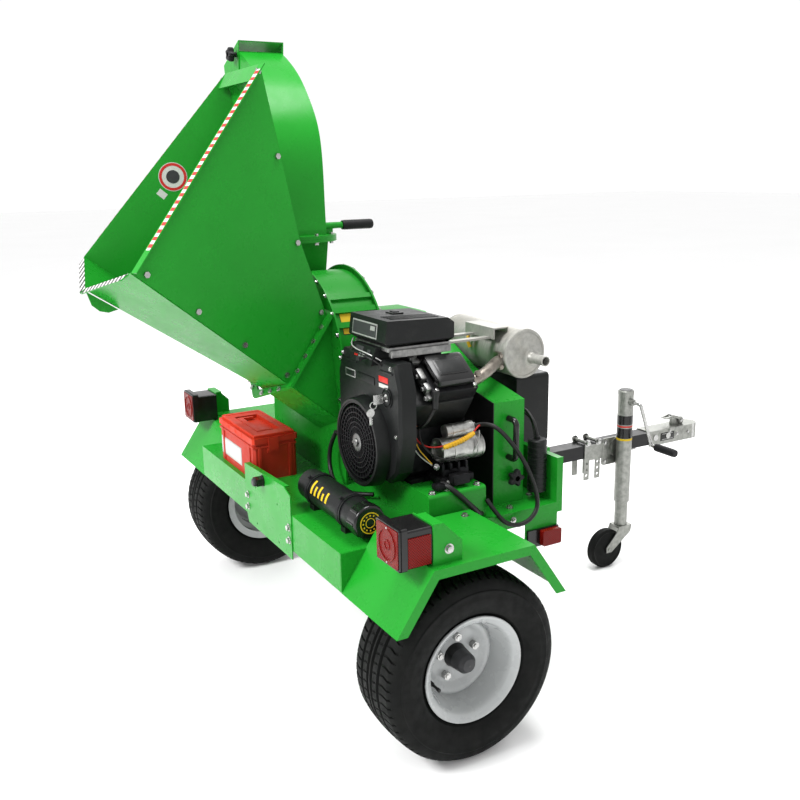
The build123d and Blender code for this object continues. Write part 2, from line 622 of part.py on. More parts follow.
def make_bearings():
    """Two pillow-block bearings on a box stand beside the housing."""
    pieces = []
    for y in BEARING_YS:
        body = rod((ROTOR_X, y - 19, ROTOR_Z), (ROTOR_X, y + 19, ROTOR_Z), 44)
        body += block((ROTOR_X - 70, ROTOR_X + 70), (y - 19, y + 19), (860, 880))
        body += block((ROTOR_X - 40, ROTOR_X + 40), (y - 19, y + 19), (860, ROTOR_Z))
        pieces.append(body - rod((ROTOR_X, y - 30, ROTOR_Z), (ROTOR_X, y + 30, ROTOR_Z),
                                 SHAFT_RADIUS + RUNNING_GAP))
    stand = box_tube((ROTOR_X - 80, ROTOR_X + 80), (172, 272), (DECK_TOP, 852), 6, "z")
    top = block((ROTOR_X - 80, ROTOR_X + 80), (170, 272), (852, 860))
    return pieces + [stand + top]


save("bearings", *make_bearings())


def housing_plate(rear):
    """Side plate: a disc with a skirt down to the deck."""
    plate = rod((ROTOR_X, rear, ROTOR_Z), (ROTOR_X, rear + 6, ROTOR_Z), HOUSING_RADIUS)
    plate += block((ROTOR_X - HOUSING_RADIUS, ROTOR_X + HOUSING_RADIUS), (rear, rear + 6),
                   (DECK_TOP, ROTOR_Z))
    throat_side = [(-345, 1160), (-318, 1276), (-468, 1276), (-480, 1000)]
    return plate + slab("y", throat_side, rear, rear + 6)


# Throat: a pentagon with a flat top and V floor, cut square to the hopper's axis.
KNUCKLE_LIP = (290.0, -636.0, 1265.0)       # half width, y, z where side plates meet the floor
KNUCKLE_THROAT = (150.0, -165.0, 889.0)
TOP_THROAT = (95.0, -8.0, 1073.0)
APEX = (138.0, -204.0, 1796.0)
BACK_KINK = (116.6, -95.0, 1303.0)
KEEL_LIP = (0.0, -697.0, 1200.0)
KEEL_THROAT = (0.0, -195.5, 853.3)
FEED_SLOPE = (889.0 - 762.0) / (165.0 - 10.0)    # fall of the throat duct towards the housing


def hopper_point(point, outward, extra_y=0.0):
    """Corner of the hopper on the left (-1) or right (+1) side."""
    half, y, z = point
    return (HOPPER_X + outward * half, y + extra_y, z)


def at_housing(point, outward):
    """Where the throat duct's edge through a corner meets the housing plate."""
    half, y, z = point
    return (HOPPER_X + outward * half, HOUSING_REAR, z - FEED_SLOPE * (HOUSING_REAR - y))


mouth = [at_housing(KEEL_THROAT, 1), at_housing(KNUCKLE_THROAT, 1), at_housing(TOP_THROAT, 1),
         at_housing(TOP_THROAT, -1), at_housing(KNUCKLE_THROAT, -1)]
feed_opening = slab("y", [(x, z) for x, y, z in mouth], HOUSING_REAR - 1, HOUSING_REAR + 7)
rear_plate = housing_plate(HOUSING_REAR) - feed_opening
front_plate = housing_plate(HOUSING_FRONT - 6)
front_plate -= rod((ROTOR_X, 140, ROTOR_Z), (ROTOR_X, 170, ROTOR_Z), SHAFT_RADIUS + 6)
save("housing_plates", rear_plate, front_plate)


def make_housing_skin():
    """Wrapper between the side plates, open at the top left into the chute neck."""
    low, high = HOUSING_REAR + 6, HOUSING_FRONT - 6
    skin = pipe((ROTOR_X, low, ROTOR_Z), (ROTOR_X, high, ROTOR_Z), SKIN_RADIUS, SKIN_RADIUS - SHEET)
    opening = slab("y", [(-345, 1120), (-345, 1300), (-500, 1300), (-500, 980)], low - 1, high + 1)
    skin -= opening
    skin += slab("y", [(-345, 1143), (-318, 1276), (-321, 1276), (-349, 1141)], low, high)
    skin += slab("y", [(-459, 982), (-468, 1276), (-465, 1276), (-455, 985)], low, high)
    for turn in (28, 38, 48):
        bar = Pos(ROTOR_X, 0, ROTOR_Z) * Rot(0, -turn, 0) * block((SKIN_RADIUS - 2, SKIN_RADIUS + 10),
                                                                 (low, high), (-9, 9))
        skin += bar
    return skin


swivel_plate = rod((CHUTE_X, CHUTE_Y, 1276), (CHUTE_X, CHUTE_Y, 1286), 138)
swivel_plate -= block((CHUTE_X - CHUTE_HALF_X + 4, CHUTE_X + CHUTE_HALF_X - 4),
                      (CHUTE_Y - CHUTE_HALF_Y + 6, CHUTE_Y + CHUTE_HALF_Y - 6), (1270, 1290))
save("housing_skin", make_housing_skin(), swivel_plate)


# ---------------------------------------------------------------- discharge chute
CHUTE_OUTER = [(-318, 1312), (-330, 1540), (-357, 1655), (-411, 1737), (-492, 1822), (-566, 1874),
               (-644, 1915)]
CHUTE_INNER = [(-468, 1312), (-474, 1540), (-487, 1612), (-526, 1676), (-590, 1738), (-650, 1776),
               (-706, 1800)]


def curve_prism(outer, inner, low, high):
    """Duct side shape between two smooth curves in X and Z, from low to high along Y."""
    top = Spline(*[(x, low, z) for x, z in outer])
    bottom = Spline(*[(x, low, z) for x, z in inner])
    start = Line(bottom @ 0, top @ 0)
    end = Line(top @ 1, bottom @ 1)
    face = Face(Wire([*bottom.edges(), *start.edges(), *top.edges(), *end.edges()]))
    return extrude(face, amount=high - low, dir=DIRECTION["y"])


def shifted(points, distance):
    """Curve points moved square to the curve, to its left for a positive distance."""
    moved = []
    for i, (x, z) in enumerate(points):
        before = points[max(i - 1, 0)]
        after = points[min(i + 1, len(points) - 1)]
        run = math.hypot(after[0] - before[0], after[1] - before[1])
        moved.append((x - distance * (after[1] - before[1]) / run,
                      z + distance * (after[0] - before[0]) / run))
    return moved


chute_low = CHUTE_Y - CHUTE_HALF_Y
chute_high = CHUTE_Y + CHUTE_HALF_Y
chute_body = curve_prism(CHUTE_OUTER, CHUTE_INNER, chute_low, chute_high)
chute_bore = curve_prism(shifted(CHUTE_OUTER, SHEET), shifted(CHUTE_INNER, -SHEET),
                         chute_low + SHEET, chute_high - SHEET)
chute_body -= chute_bore
chute_body -= block((CHUTE_X - 72, CHUTE_X + 72), (chute_low + SHEET, chute_high - SHEET), (1300, 1330))
end_cut = slab("y", [(-641, 1917), (-703, 1802), (-760, 1830), (-700, 1950)], chute_low + SHEET,
               chute_high - SHEET)
chute_body -= end_cut
chute_body += rod((CHUTE_X, CHUTE_Y, 1286 + BODY_GAP), (CHUTE_X, CHUTE_Y, CHUTE_BASE + 1), 138)
chute_body += block((-468, -318), (chute_low, chute_high), (CHUTE_BASE, 1314))
chute_body -= block((-465, -321), (chute_low + SHEET, chute_high - SHEET), (1280, 1330))
handle_bar = rod((-345, chute_high - 1, 1325), (-345, 225, 1325), 11)
handle_bar += block((-349, -341), (chute_high - 1, 190), (CHUTE_BASE, 1325))
handle_grip = fillet(rod((-345, 225, 1325), (-345, 345, 1325), 16).edges(), 5)
save("chute", chute_body + handle_bar, handle_grip)

HINGE_X = -668.0
HINGE_Z = 1868.0


def make_deflector():
    """Hood over the chute's end: a top plate and two cheeks pivoting on the chute's sides."""
    cheek = [(-628, 1948), (-788, 1880), (-782, 1842), (-702, 1812), (-640, 1850)]
    gap = 0.5
    left = slab("y", cheek, chute_low - gap - SHEET, chute_low - gap)
    right = slab("y", cheek, chute_high + gap, chute_high + gap + SHEET)
    top = slab("y", [(-628, 1948), (-788, 1880), (-787, 1877), (-629.5, 1944)], chute_low - gap - SHEET,
               chute_high + gap + SHEET)
    bolt = rod((HINGE_X, chute_high + gap + SHEET, HINGE_Z), (HINGE_X, chute_high + 12, HINGE_Z), 10)
    return left + right + top + bolt


save("deflector", make_deflector())
knob_base = (-655, chute_low - 0.5 - SHEET - BODY_GAP, 1903)
save("deflector_knob", star_knob(knob_base, (0, -1, 0), 25, 32))


# ---------------------------------------------------------------- feed hopper
def front_flange(outward, width):
    """Bent lip along the front edge of a side plate."""
    low = Vector(*hopper_point(KNUCKLE_LIP, outward))
    high = Vector(*hopper_point(APEX, outward))
    out = side_normal(outward)
    inward = (high - low).cross(out).normalized()
    if inward.Y < 0:
        inward = inward * -1
    near = out * SHEET
    face = Face(Wire.make_polygon([low + near, high + near, high + out * width, low + out * width]))
    return extrude(face, amount=SHEET, dir=inward)


def side_normal(outward):
    """Outward normal of a hopper side plate."""
    a = Vector(*hopper_point(KNUCKLE_LIP, outward))
    b = Vector(*hopper_point(KNUCKLE_THROAT, outward))
    c = Vector(*hopper_point(APEX, outward))
    normal = (b - a).cross(c - a).normalized()
    return normal if normal.X * outward > 0 else normal * -1


FLANGE_WIDTH = 24.0
for side_name, outward in (("left", -1), ("right", 1)):
    corners = [hopper_point(p, outward) for p in (KNUCKLE_LIP, KNUCKLE_THROAT, TOP_THROAT, BACK_KINK, APEX)]
    wall = panel(corners, SHEET, (outward, 0, 0))
    save("hopper_side_" + side_name, wall, front_flange(outward, FLANGE_WIDTH))


def lip_drop(outward):
    """Turned-down end of the hopper floor at its lip."""
    low = Vector(*hopper_point(KEEL_LIP, outward))
    high = Vector(*hopper_point(KNUCKLE_LIP, outward))
    drop = Vector(outward * 8, -14, -12)
    along = (high - low).normalized()
    return panel([low, high - along * 12, high - along * 40 + drop, low + drop], SHEET, (0, 1, -1))


def make_hopper_floor():
    """V-shaped floor folded from one sheet, with a turned-down lip."""
    halves = []
    for outward in (-1, 1):
        corners = [hopper_point(p, outward) for p in (KEEL_LIP, KNUCKLE_LIP, KNUCKLE_THROAT, KEEL_THROAT)]
        halves.append(panel(corners, SHEET, (outward, 0, -2)) + lip_drop(outward))
    return halves


keel_gusset = slab("x", [(-696, 1192), (-612, 1135), (-640, 1128), (-664, 1134), (-684, 1152)],
                   HOPPER_X - 3, HOPPER_X + 3)
save("hopper_floor", *make_hopper_floor())


def make_hopper_back():
    """Back sheet between the side plates, bent at the kink, with a cap strip at the apex."""
    def pair(point):
        return hopper_point(point, -1), hopper_point(point, 1)

    low_left, low_right = pair(TOP_THROAT)
    kink_left, kink_right = pair(BACK_KINK)
    apex_left, apex_right = pair(APEX)
    lower = panel([low_left, low_right, kink_right, kink_left], SHEET, (0, 1, 0))
    upper = panel([kink_left, kink_right, apex_right, apex_left], SHEET, (0, 1, 0))
    strip_low = [(x, y - 26, z - 44) for x, y, z in (apex_right, apex_left)]
    strip = panel([apex_left, apex_right, *strip_low], SHEET, (0, 1, -1))
    return lower + upper, strip


save("hopper_back", *make_hopper_back())


def throat_plane():
    """Plane of the bolted flange between hopper and throat duct."""
    rise = Vector(0, TOP_THROAT[1] - KNUCKLE_THROAT[1], TOP_THROAT[2] - KNUCKLE_THROAT[2])
    origin = (HOPPER_X, KNUCKLE_THROAT[1], KNUCKLE_THROAT[2])
    return Plane(origin=origin, x_dir=(1, 0, 0), z_dir=Vector(1, 0, 0).cross(rise)), rise.length


def throat_outline(extra, rise):
    """Pentagon of the throat, grown by extra."""
    return [(-KNUCKLE_THROAT[0] - extra, -extra * 0.2), (0, -53 - extra * 1.15),
            (KNUCKLE_THROAT[0] + extra, -extra * 0.2), (TOP_THROAT[0] + extra, rise + extra),
            (-TOP_THROAT[0] - extra, rise + extra)]


THROAT, THROAT_RISE = throat_plane()


def throat_frame(offset, thickness):
    """Flat flange frame round the throat."""
    outer = make_face(Polyline(*throat_outline(30, THROAT_RISE), close=True))
    inner = make_face(Polyline(*throat_outline(6.5, THROAT_RISE), close=True))
    return extrude(THROAT.offset(offset) * (outer - inner), amount=thickness)


def make_throat_duct():
    """Duct from the bolted flange down to the housing plate."""
    sides = []
    for outward in (-1, 1):
        wall = [hopper_point(KNUCKLE_THROAT, outward), hopper_point(TOP_THROAT, outward),
                at_housing(TOP_THROAT, outward), at_housing(KNUCKLE_THROAT, outward)]
        floor = [hopper_point(KEEL_THROAT, outward), hopper_point(KNUCKLE_THROAT, outward),
                 at_housing(KNUCKLE_THROAT, outward), at_housing(KEEL_THROAT, outward)]
        sides.append(panel(wall, SHEET, (outward, 0, 0)))
        sides.append(panel(floor, SHEET, (outward, 0, -2)))
    return sides


throat_facing = 1 if THROAT.z_dir.Y > 0 else -1
duct_flange = throat_frame(0 if throat_facing > 0 else -5, 5)
hopper_flange = throat_frame(-5 if throat_facing > 0 else 0, 5)
rear_side = block((-600, 400), (-400, HOUSING_REAR), (500, 1300))
save("throat_duct", *[s & rear_side for s in make_throat_duct()], duct_flange & rear_side,
     hopper_flange & rear_side)


def bolt_row(start, end, fractions, out, size):
    """Hexagon bolts at fractions of the way from start to end."""
    a, b = Vector(*start), Vector(*end)
    return [hex_bolt(tuple(a + (b - a) * fraction), out, size, size * 0.7) for fraction in fractions]


def on_side(point, outward, shift):
    """Point on the outer face of a side plate, near a corner."""
    out = side_normal(outward)
    corner = Vector(*hopper_point(point, outward))
    place = corner + Vector(*shift)
    return place - out * (place - corner).dot(out) + out * SHEET


EVEN_FOUR = (0.125, 0.375, 0.625, 0.875)


def make_hopper_bolts():
    bolts = []
    for outward in (-1, 1):
        out = side_normal(outward)
        bolts += bolt_row(on_side(KNUCKLE_LIP, outward, (0, 12, 14)),
                          on_side(KNUCKLE_THROAT, outward, (0, 12, 14)),
                          (0.06, 0.36, 0.66, 0.96), out, 9)
        bolts += bolt_row(on_side(BACK_KINK, outward, (0, -14, 0)), on_side(APEX, outward, (0, -14, 0)),
                          (0.0, 0.5, 0.96), out, 9)
        bolts += bolt_row(on_side(TOP_THROAT, outward, (0, -24, 10)),
                          on_side(BACK_KINK, outward, (0, -14, 0)),
                          (0.02,), out, 9)
        face = -throat_facing * 5
        foot = THROAT.from_local_coords((outward * 171, 20, face))
        head = THROAT.from_local_coords((outward * 119, THROAT_RISE - 15, face))
        bolts += bolt_row(foot, head, EVEN_FOUR, THROAT.z_dir * -throat_facing, 8)
        keel = THROAT.from_local_coords((outward * 20, -72, face))
        corner = THROAT.from_local_coords((outward * 150, -19, face))
        bolts += bolt_row(keel, corner, (0.17, 0.5, 0.83), THROAT.z_dir * -throat_facing, 8)
    return bolts


save("hopper_bolts", *make_hopper_bolts(), keel_gusset)


# ---------------------------------------------------------------- tool box and manual canister
BOX_X = (-396.0, -84.0)
BOX_Y = (-236.0, -88.0)
BOX_LID_BASE = 672.0
BOX_TOP = 698.0


def make_toolbox_body():
    body = block(BOX_X, BOX_Y, (DECK_TOP, BOX_LID_BASE))
    body = chamfer(body.edges().filter_by(Axis.Z), 8)
    inside = block((BOX_X[0] + 4, BOX_X[1] - 4), (BOX_Y[0] + 4, BOX_Y[1] - 4), (DECK_TOP + 4, 700))
    latch_keeper = block((BOX_X[1], BOX_X[1] + 5.7), (-190, -150), (640, 655))
    return body - inside + latch_keeper


def make_toolbox_lid():
    low = BOX_LID_BASE + BODY_GAP
    rim = block((BOX_X[0] - 6, BOX_X[1] + 6), (BOX_Y[0] - 3, BOX_Y[1] + 3), (low, BOX_TOP - 8))
    top = block((BOX_X[0] + 4, BOX_X[1] - 4), (BOX_Y[0] + 6, BOX_Y[1] - 6), (low, BOX_TOP))
    lid = chamfer(rim.edges().filter_by(Axis.Z), 6) + top
    lid -= block((BOX_X[0] + 2, BOX_X[1] - 2), (BOX_Y[0] + 4, BOX_Y[1] - 4), (low - 1, BOX_TOP - 17))
    recess = block((BOX_X[0] + 50, BOX_X[1] - 50), (BOX_Y[0] + 34, BOX_Y[1] - 34),
                   (BOX_TOP - 13, BOX_TOP + 1))
    latch = block((BOX_X[1] + 6, BOX_X[1] + 10), (-187, -153), (648, 688))
    knuckle = rod((BOX_X[0] - 6, BOX_Y[0] + 20, low), (BOX_X[0] - 6, BOX_Y[1] - 20, low), 3)
    return lid - recess + knuckle, latch


save("toolbox_body", make_toolbox_body())
save("toolbox_lid", *make_toolbox_lid())
HANDLE_X = (BOX_X[0] + 62, BOX_X[1] - 62)
HANDLE_Z = BOX_TOP - 5.5
handle_bar_y = -188.0
handle_hinge_y = -146.0
carry = block(HANDLE_X, (handle_bar_y - 9, handle_bar_y + 9), (HANDLE_Z - 4, HANDLE_Z + 4))
for x in HANDLE_X:
    arm = sorted((x, x - math.copysign(12, x - sum(HANDLE_X) / 2)))
    carry += block(arm, (handle_bar_y, handle_hinge_y + 4), (HANDLE_Z - 4, HANDLE_Z + 4))
save("toolbox_handle", carry)

CANISTER_Y = -152.0
CANISTER_Z = 604.0
CANISTER_RADIUS = 46.0
canister = rod((166, CANISTER_Y, CANISTER_Z), (500, CANISTER_Y, CANISTER_Z), CANISTER_RADIUS)
canister = fillet(canister.edges().group_by(Axis.X)[0], 10)
canister -= rod((171, CANISTER_Y, CANISTER_Z), (501, CANISTER_Y, CANISTER_Z), CANISTER_RADIUS - 4)
clamp_rings = []
for x in (235, 440):
    ring = pipe((x - 14, CANISTER_Y, CANISTER_Z), (x + 14, CANISTER_Y, CANISTER_Z), CANISTER_RADIUS + 3,
                CANISTER_RADIUS)
    foot = block((x - 14, x + 14), (CANISTER_Y - 30, CANISTER_Y + 30), (DECK_TOP, 568))
    foot -= rod((x - 20, CANISTER_Y, CANISTER_Z), (x + 20, CANISTER_Y, CANISTER_Z), CANISTER_RADIUS + 1)
    clamp_rings.append(ring + foot)
save("canister_tube", canister, *clamp_rings)
cap = rod((500 + BODY_GAP, CANISTER_Y, CANISTER_Z), (545, CANISTER_Y, CANISTER_Z), CANISTER_RADIUS + 1)
cap = fillet(cap.edges().group_by(Axis.X)[-1], 7)
for y, z in around(8, CANISTER_RADIUS - 5):
    cap += rod((500 + BODY_GAP, CANISTER_Y + y, CANISTER_Z + z), (536, CANISTER_Y + y, CANISTER_Z + z), 8)
cap += rod((486, CANISTER_Y, CANISTER_Z), (501, CANISTER_Y, CANISTER_Z), CANISTER_RADIUS - 4.3)
save("canister_cap", cap)


# ---------------------------------------------------------------- coupler
BALL_RADIUS = 25.4
SOCKET_Y = 1590.0
SOCKET_Z = 455.0


def make_coupler():
    """Straight-tongue ball coupler: a channel over the tongue with a socket at its nose."""
    wall = 4.0
    half = TONGUE_HALF_WIDTH + wall + 0.5
    sleeve = block((-half, half), (1354, 1500), (434, TONGUE_TOP + wall))
    sleeve -= block((-half + wall, half - wall), (1300, 1501), (430, TONGUE_TOP))
    nose = block((-half, half), (1499, SOCKET_Y), (434, TONGUE_TOP + wall))
    nose += rod((0, SOCKET_Y, 434), (0, SOCKET_Y, TONGUE_TOP + wall), half + 1)
    nose -= block((-half + wall, half - wall), (1498, SOCKET_Y), (430, TONGUE_TOP))
    nose -= rod((0, SOCKET_Y, 430), (0, SOCKET_Y, SOCKET_Z), BALL_RADIUS + 1)
    nose -= Pos(0, SOCKET_Y, SOCKET_Z) * Sphere(BALL_RADIUS + 1)
    body = sleeve + nose
    pieces = [body]
    for y in (1385, 1452):
        pieces += [rod((out * half, y, 466), (out * (half + 3), y, 466), 12) for out in (-1, 1)]
    post = block((-6, 6), (1500, 1560), (TONGUE_TOP + wall - 1, 520))
    pieces.append(post - rod((-8, 1545, 508), (8, 1545, 508), 5 + RUNNING_GAP))
    return pieces


save("coupler_body", *make_coupler())
latch = rod((-16, 1545, 508), (16, 1545, 508), 5)
latch_side = [(1537, 497.5), (1553, 497.5), (1557, 508), (1552, 520), (1500, 536), (1462, 528), (1462, 524),
              (1500, 530), (1530, 516)]
for x in (-15, 9):
    latch += slab("x", latch_side, x, x + 6)
latch += block((-15, 15), (1462, 1500), (524, 528))
save("coupler_lever", latch)


# ---------------------------------------------------------------- jack
OUTER_TUBE = 29.0
INNER_TUBE = 24.0
CRANK_ROD = 6.5
CRANK_SHAFT_Z = 652.0


def make_jack_mount():
    """Clamp plates round the tongue and the round pivot plate for the jack."""
    face_x = TONGUE_HALF_WIDTH
    plates = []
    for y in (1037, 1090):
        plate = block((face_x, face_x + 4), (y - 12, y + 12), (355, 505))
        for z in (372, 396, 420):
            plate -= rod((face_x - 1, y, z), (face_x + 5, y, z), 5.5)
        back = block((-face_x - 4, -face_x), (y - 12, y + 12), (355, 505))
        plates += [plate, back, rod((-face_x - 10, y, 500), (face_x + 12, y, 500), 6)]
    swivel = block((face_x, face_x + 5), (1110, 1225), (400, 505))
    swivel = fillet(swivel.edges().filter_by(Axis.X), 10)
    bridge = block((face_x, face_x + 4), (1049, 1078), (430, 490)) + block((face_x, face_x + 4),
                                                                           (1102, 1111), (430, 490))
    swivel -= rod((face_x - 1, JACK_Y, JACK_PIVOT_Z), (face_x + 6, JACK_Y, JACK_PIVOT_Z), 9 + RUNNING_GAP)
    return plates + [swivel, bridge]


save("jack_mount", *make_jack_mount())


def make_jack_outer():
    """Jack body tube with its top cap, pivot flange and crank bushing."""
    tube = pipe((JACK_X, JACK_Y, 256), (JACK_X, JACK_Y, 682), OUTER_TUBE, OUTER_TUBE - 3)
    cap = rod((JACK_X, JACK_Y, 682), (JACK_X, JACK_Y, 690), OUTER_TUBE + 1)
    plate_x = TONGUE_HALF_WIDTH + 5.3
    boss = rod((TONGUE_HALF_WIDTH, JACK_Y, JACK_PIVOT_Z), (plate_x + 1, JACK_Y, JACK_PIVOT_Z), 9)
    face = rod((plate_x, JACK_Y, JACK_PIVOT_Z), (plate_x + 6.7, JACK_Y, JACK_PIVOT_Z), 42)
    face -= rod((JACK_X, JACK_Y, 400), (JACK_X, JACK_Y, 520), OUTER_TUBE - 1)
    wall_x = JACK_X + OUTER_TUBE - 3
    bushing = rod((wall_x, JACK_Y, CRANK_SHAFT_Z), (wall_x + 15, JACK_Y, CRANK_SHAFT_Z), 13)
    bore = rod((JACK_X, JACK_Y, CRANK_SHAFT_Z), (JACK_X + 60, JACK_Y, CRANK_SHAFT_Z),
               CRANK_ROD + RUNNING_GAP)
    bore -= block((JACK_X - 60, JACK_X + 10), (JACK_Y - 20, JACK_Y + 20),
                  (CRANK_SHAFT_Z - 20, CRANK_SHAFT_Z + 20))
    return (tube + boss + face + bushing) - bore, cap


save("jack_outer_tube", *make_jack_outer())

inner_tube = pipe((JACK_X, JACK_Y, 166), (JACK_X, JACK_Y, 560), INNER_TUBE, INNER_TUBE - 3)
inner_tube += rod((JACK_X, JACK_Y, 160), (JACK_X, JACK_Y, 166), INNER_TUBE)
save("jack_inner_tube", inner_tube)

CRANK_X = JACK_X + 78
GRIP_Y = 1252.0
GRIP_Z = 484.0
shaft_start = (JACK_X + OUTER_TUBE - 2, JACK_Y, CRANK_SHAFT_Z)
crank_route = [shaft_start, (CRANK_X, JACK_Y, CRANK_SHAFT_Z), (CRANK_X, GRIP_Y, GRIP_Z),
               (CRANK_X + 22, GRIP_Y, GRIP_Z)]
crank_arm = sweep(Plane(origin=shaft_start, z_dir=(1, 0, 0)) * Circle(CRANK_ROD),
                  path=FilletPolyline(*crank_route, radius=10))
crank_grip = fillet(rod((CRANK_X + 22, GRIP_Y, GRIP_Z), (CRANK_X + 122, GRIP_Y, GRIP_Z), 14).edges(), 4)
save("jack_crank", crank_arm, crank_grip)

WHEEL_Y = JACK_Y - CASTER_TRAIL


def make_yoke():
    """Caster yoke: a top plate and two arms trailing back to the wheel pin."""
    half = 27.0
    top = block((JACK_X - half, JACK_X + half), (1158, 1220), (152, 160 - BODY_GAP))
    yoke = top
    for x in (-half, half - 4):
        arm = [(1158, 160 - BODY_GAP), (1220, 160 - BODY_GAP), (1216, 132),
               (WHEEL_Y + 12, CASTER_RADIUS - 12),
               (WHEEL_Y - 12, CASTER_RADIUS - 12), (WHEEL_Y - 14, CASTER_RADIUS + 8), (1150, 140)]
        yoke += slab("x", arm, JACK_X + x, JACK_X + x + 4)
    pin = rod((JACK_X - half - 3, WHEEL_Y, CASTER_RADIUS), (JACK_X + half + 3, WHEEL_Y, CASTER_RADIUS), 6)
    return yoke + pin


save("jack_yoke", make_yoke())
caster = turned([(-19, 6.05), (-19, 30), (-16, 62), (-19, 68), (-12, CASTER_RADIUS), (12, CASTER_RADIUS),
                 (19, 68),
                 (16, 62), (19, 30), (19, 6.05)], (JACK_X, WHEEL_Y, CASTER_RADIUS), (1, 0, 0))
save("jack_wheel", caster)

PIN_X = TONGUE_HALF_WIDTH + 12 + BODY_GAP
PIN_Y = 1222.5
PIN_Z = 452.0
pull_pin = rod((PIN_X, PIN_Y, PIN_Z), (PIN_X + 24, PIN_Y, PIN_Z), 3.5)
pull_pin += rod((PIN_X + 22, PIN_Y - 3, PIN_Z), (PIN_X + 22, PIN_Y + 28, PIN_Z), 3.2)
save("jack_pin", pull_pin)


# ---------------------------------------------------------------- hoses
CABLE_RADIUS = 6.5
CABLE_ROUTE = [(462, 222.3, 791), (466, 246, 795), (484, 262, 799), (508, 276, 794), (534, 296, 768),
               (560, 326, 716), (582, 354, 646), (594, 370, 567), (596, 343, 530), (592, 300, 516),
               (585, 257, 530), (575, 230, 567), (547, 219.5, 598)]
HOSE_RADIUS = 7.0
HOSE_ROUTE = [(92, -28, 726), (62, -30, 690), (48, -34, 645), (62, -40, 600), (110, -50, 572),
              (170, -54, 562), (225, -30, 562), (262, 8, 566)]
for node, route, radius in (("battery_cable", CABLE_ROUTE, CABLE_RADIUS),
                            ("fuel_hose", HOSE_ROUTE, HOSE_RADIUS)):
    tube, radii = hose(route, radius)
    print(node, "bend radii", [round(r) for r in radii])
    save(node, tube)
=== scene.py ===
import math

import bmesh
import bpy
from mathutils import Matrix, Vector


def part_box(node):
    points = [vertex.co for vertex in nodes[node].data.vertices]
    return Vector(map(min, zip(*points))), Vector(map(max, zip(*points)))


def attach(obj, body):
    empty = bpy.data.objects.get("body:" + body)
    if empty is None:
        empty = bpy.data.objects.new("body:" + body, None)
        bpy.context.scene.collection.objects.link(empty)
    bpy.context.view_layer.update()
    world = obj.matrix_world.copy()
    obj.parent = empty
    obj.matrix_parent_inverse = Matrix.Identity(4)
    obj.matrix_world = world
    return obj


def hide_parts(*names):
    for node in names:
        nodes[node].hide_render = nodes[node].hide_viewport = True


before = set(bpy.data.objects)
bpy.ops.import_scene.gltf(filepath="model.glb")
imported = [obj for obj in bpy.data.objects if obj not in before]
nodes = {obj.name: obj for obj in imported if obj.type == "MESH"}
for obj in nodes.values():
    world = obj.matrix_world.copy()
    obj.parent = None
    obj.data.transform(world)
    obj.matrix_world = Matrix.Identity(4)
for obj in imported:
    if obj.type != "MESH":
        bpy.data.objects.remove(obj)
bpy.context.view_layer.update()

# Lengths are millimetres from the ground under the middle of the axle, as in the CAD source.
MM = 0.001
AXLE_Y = (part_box("axle_beam")[0].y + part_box("axle_beam")[1].y) / 2
WHEEL_X = 724.0
WHEEL_Z = 260.0
ENGINE_X = 300.0
CRANK_Z = 750.0
LEAN = math.radians(36)
STARTER_X, STARTER_Z = 456.0, 735.0
SOLENOID_X, SOLENOID_Z = 462.0, 791.0
MUFFLER_Y, MUFFLER_Z = 474.0, 962.0
ROTOR_X = -195.0
ROTOR_Z = 915.0
CHUTE_X, CHUTE_Y = -393.0, 75.0
CANISTER_Y, CANISTER_Z = -152.0, 604.0
JACK_X, JACK_Y = 70.0, 1187.0
LAMP_X, LAMP_Z = 781.5, 646.0
SIDES = (("left", -1), ("right", 1))
RIGHT = (1, 0, 0)
FRONT = (0, 1, 0)
REAR = (0, -1, 0)
UP = (0, 0, 1)


def at(x, y, z):
    """A point given in millimetres from the axle, in the row frame in metres."""
    return Vector((x * MM, y * MM + AXLE_Y, z * MM))


def mm(x, y, z):
    """A step given in millimetres, in metres."""
    return Vector((x, y, z)) * MM


# ---------------- camera
CAMERA_PLACE = (2563.0, -1196.0, 1508.0)
CAMERA_FORWARD = (-0.8445, 0.4771, -0.2436)
CAMERA_UP = (-0.2040, 0.1341, 0.9699)


def make_camera():
    """Camera that sees the chipper from its rear right, as in the photograph."""
    data = bpy.data.cameras.new("camera")
    data.lens = 41.31
    data.sensor_width = 36.0
    camera = bpy.data.objects.new("camera", data)
    bpy.context.scene.collection.objects.link(camera)
    forward = Vector(CAMERA_FORWARD).normalized()
    right = forward.cross(Vector(CAMERA_UP)).normalized()
    up = right.cross(forward)
    turn = Matrix((right, up, -forward)).transposed().to_4x4()
    camera.matrix_world = Matrix.Translation(at(*CAMERA_PLACE)) @ turn
    bpy.context.scene.camera = camera


make_camera()


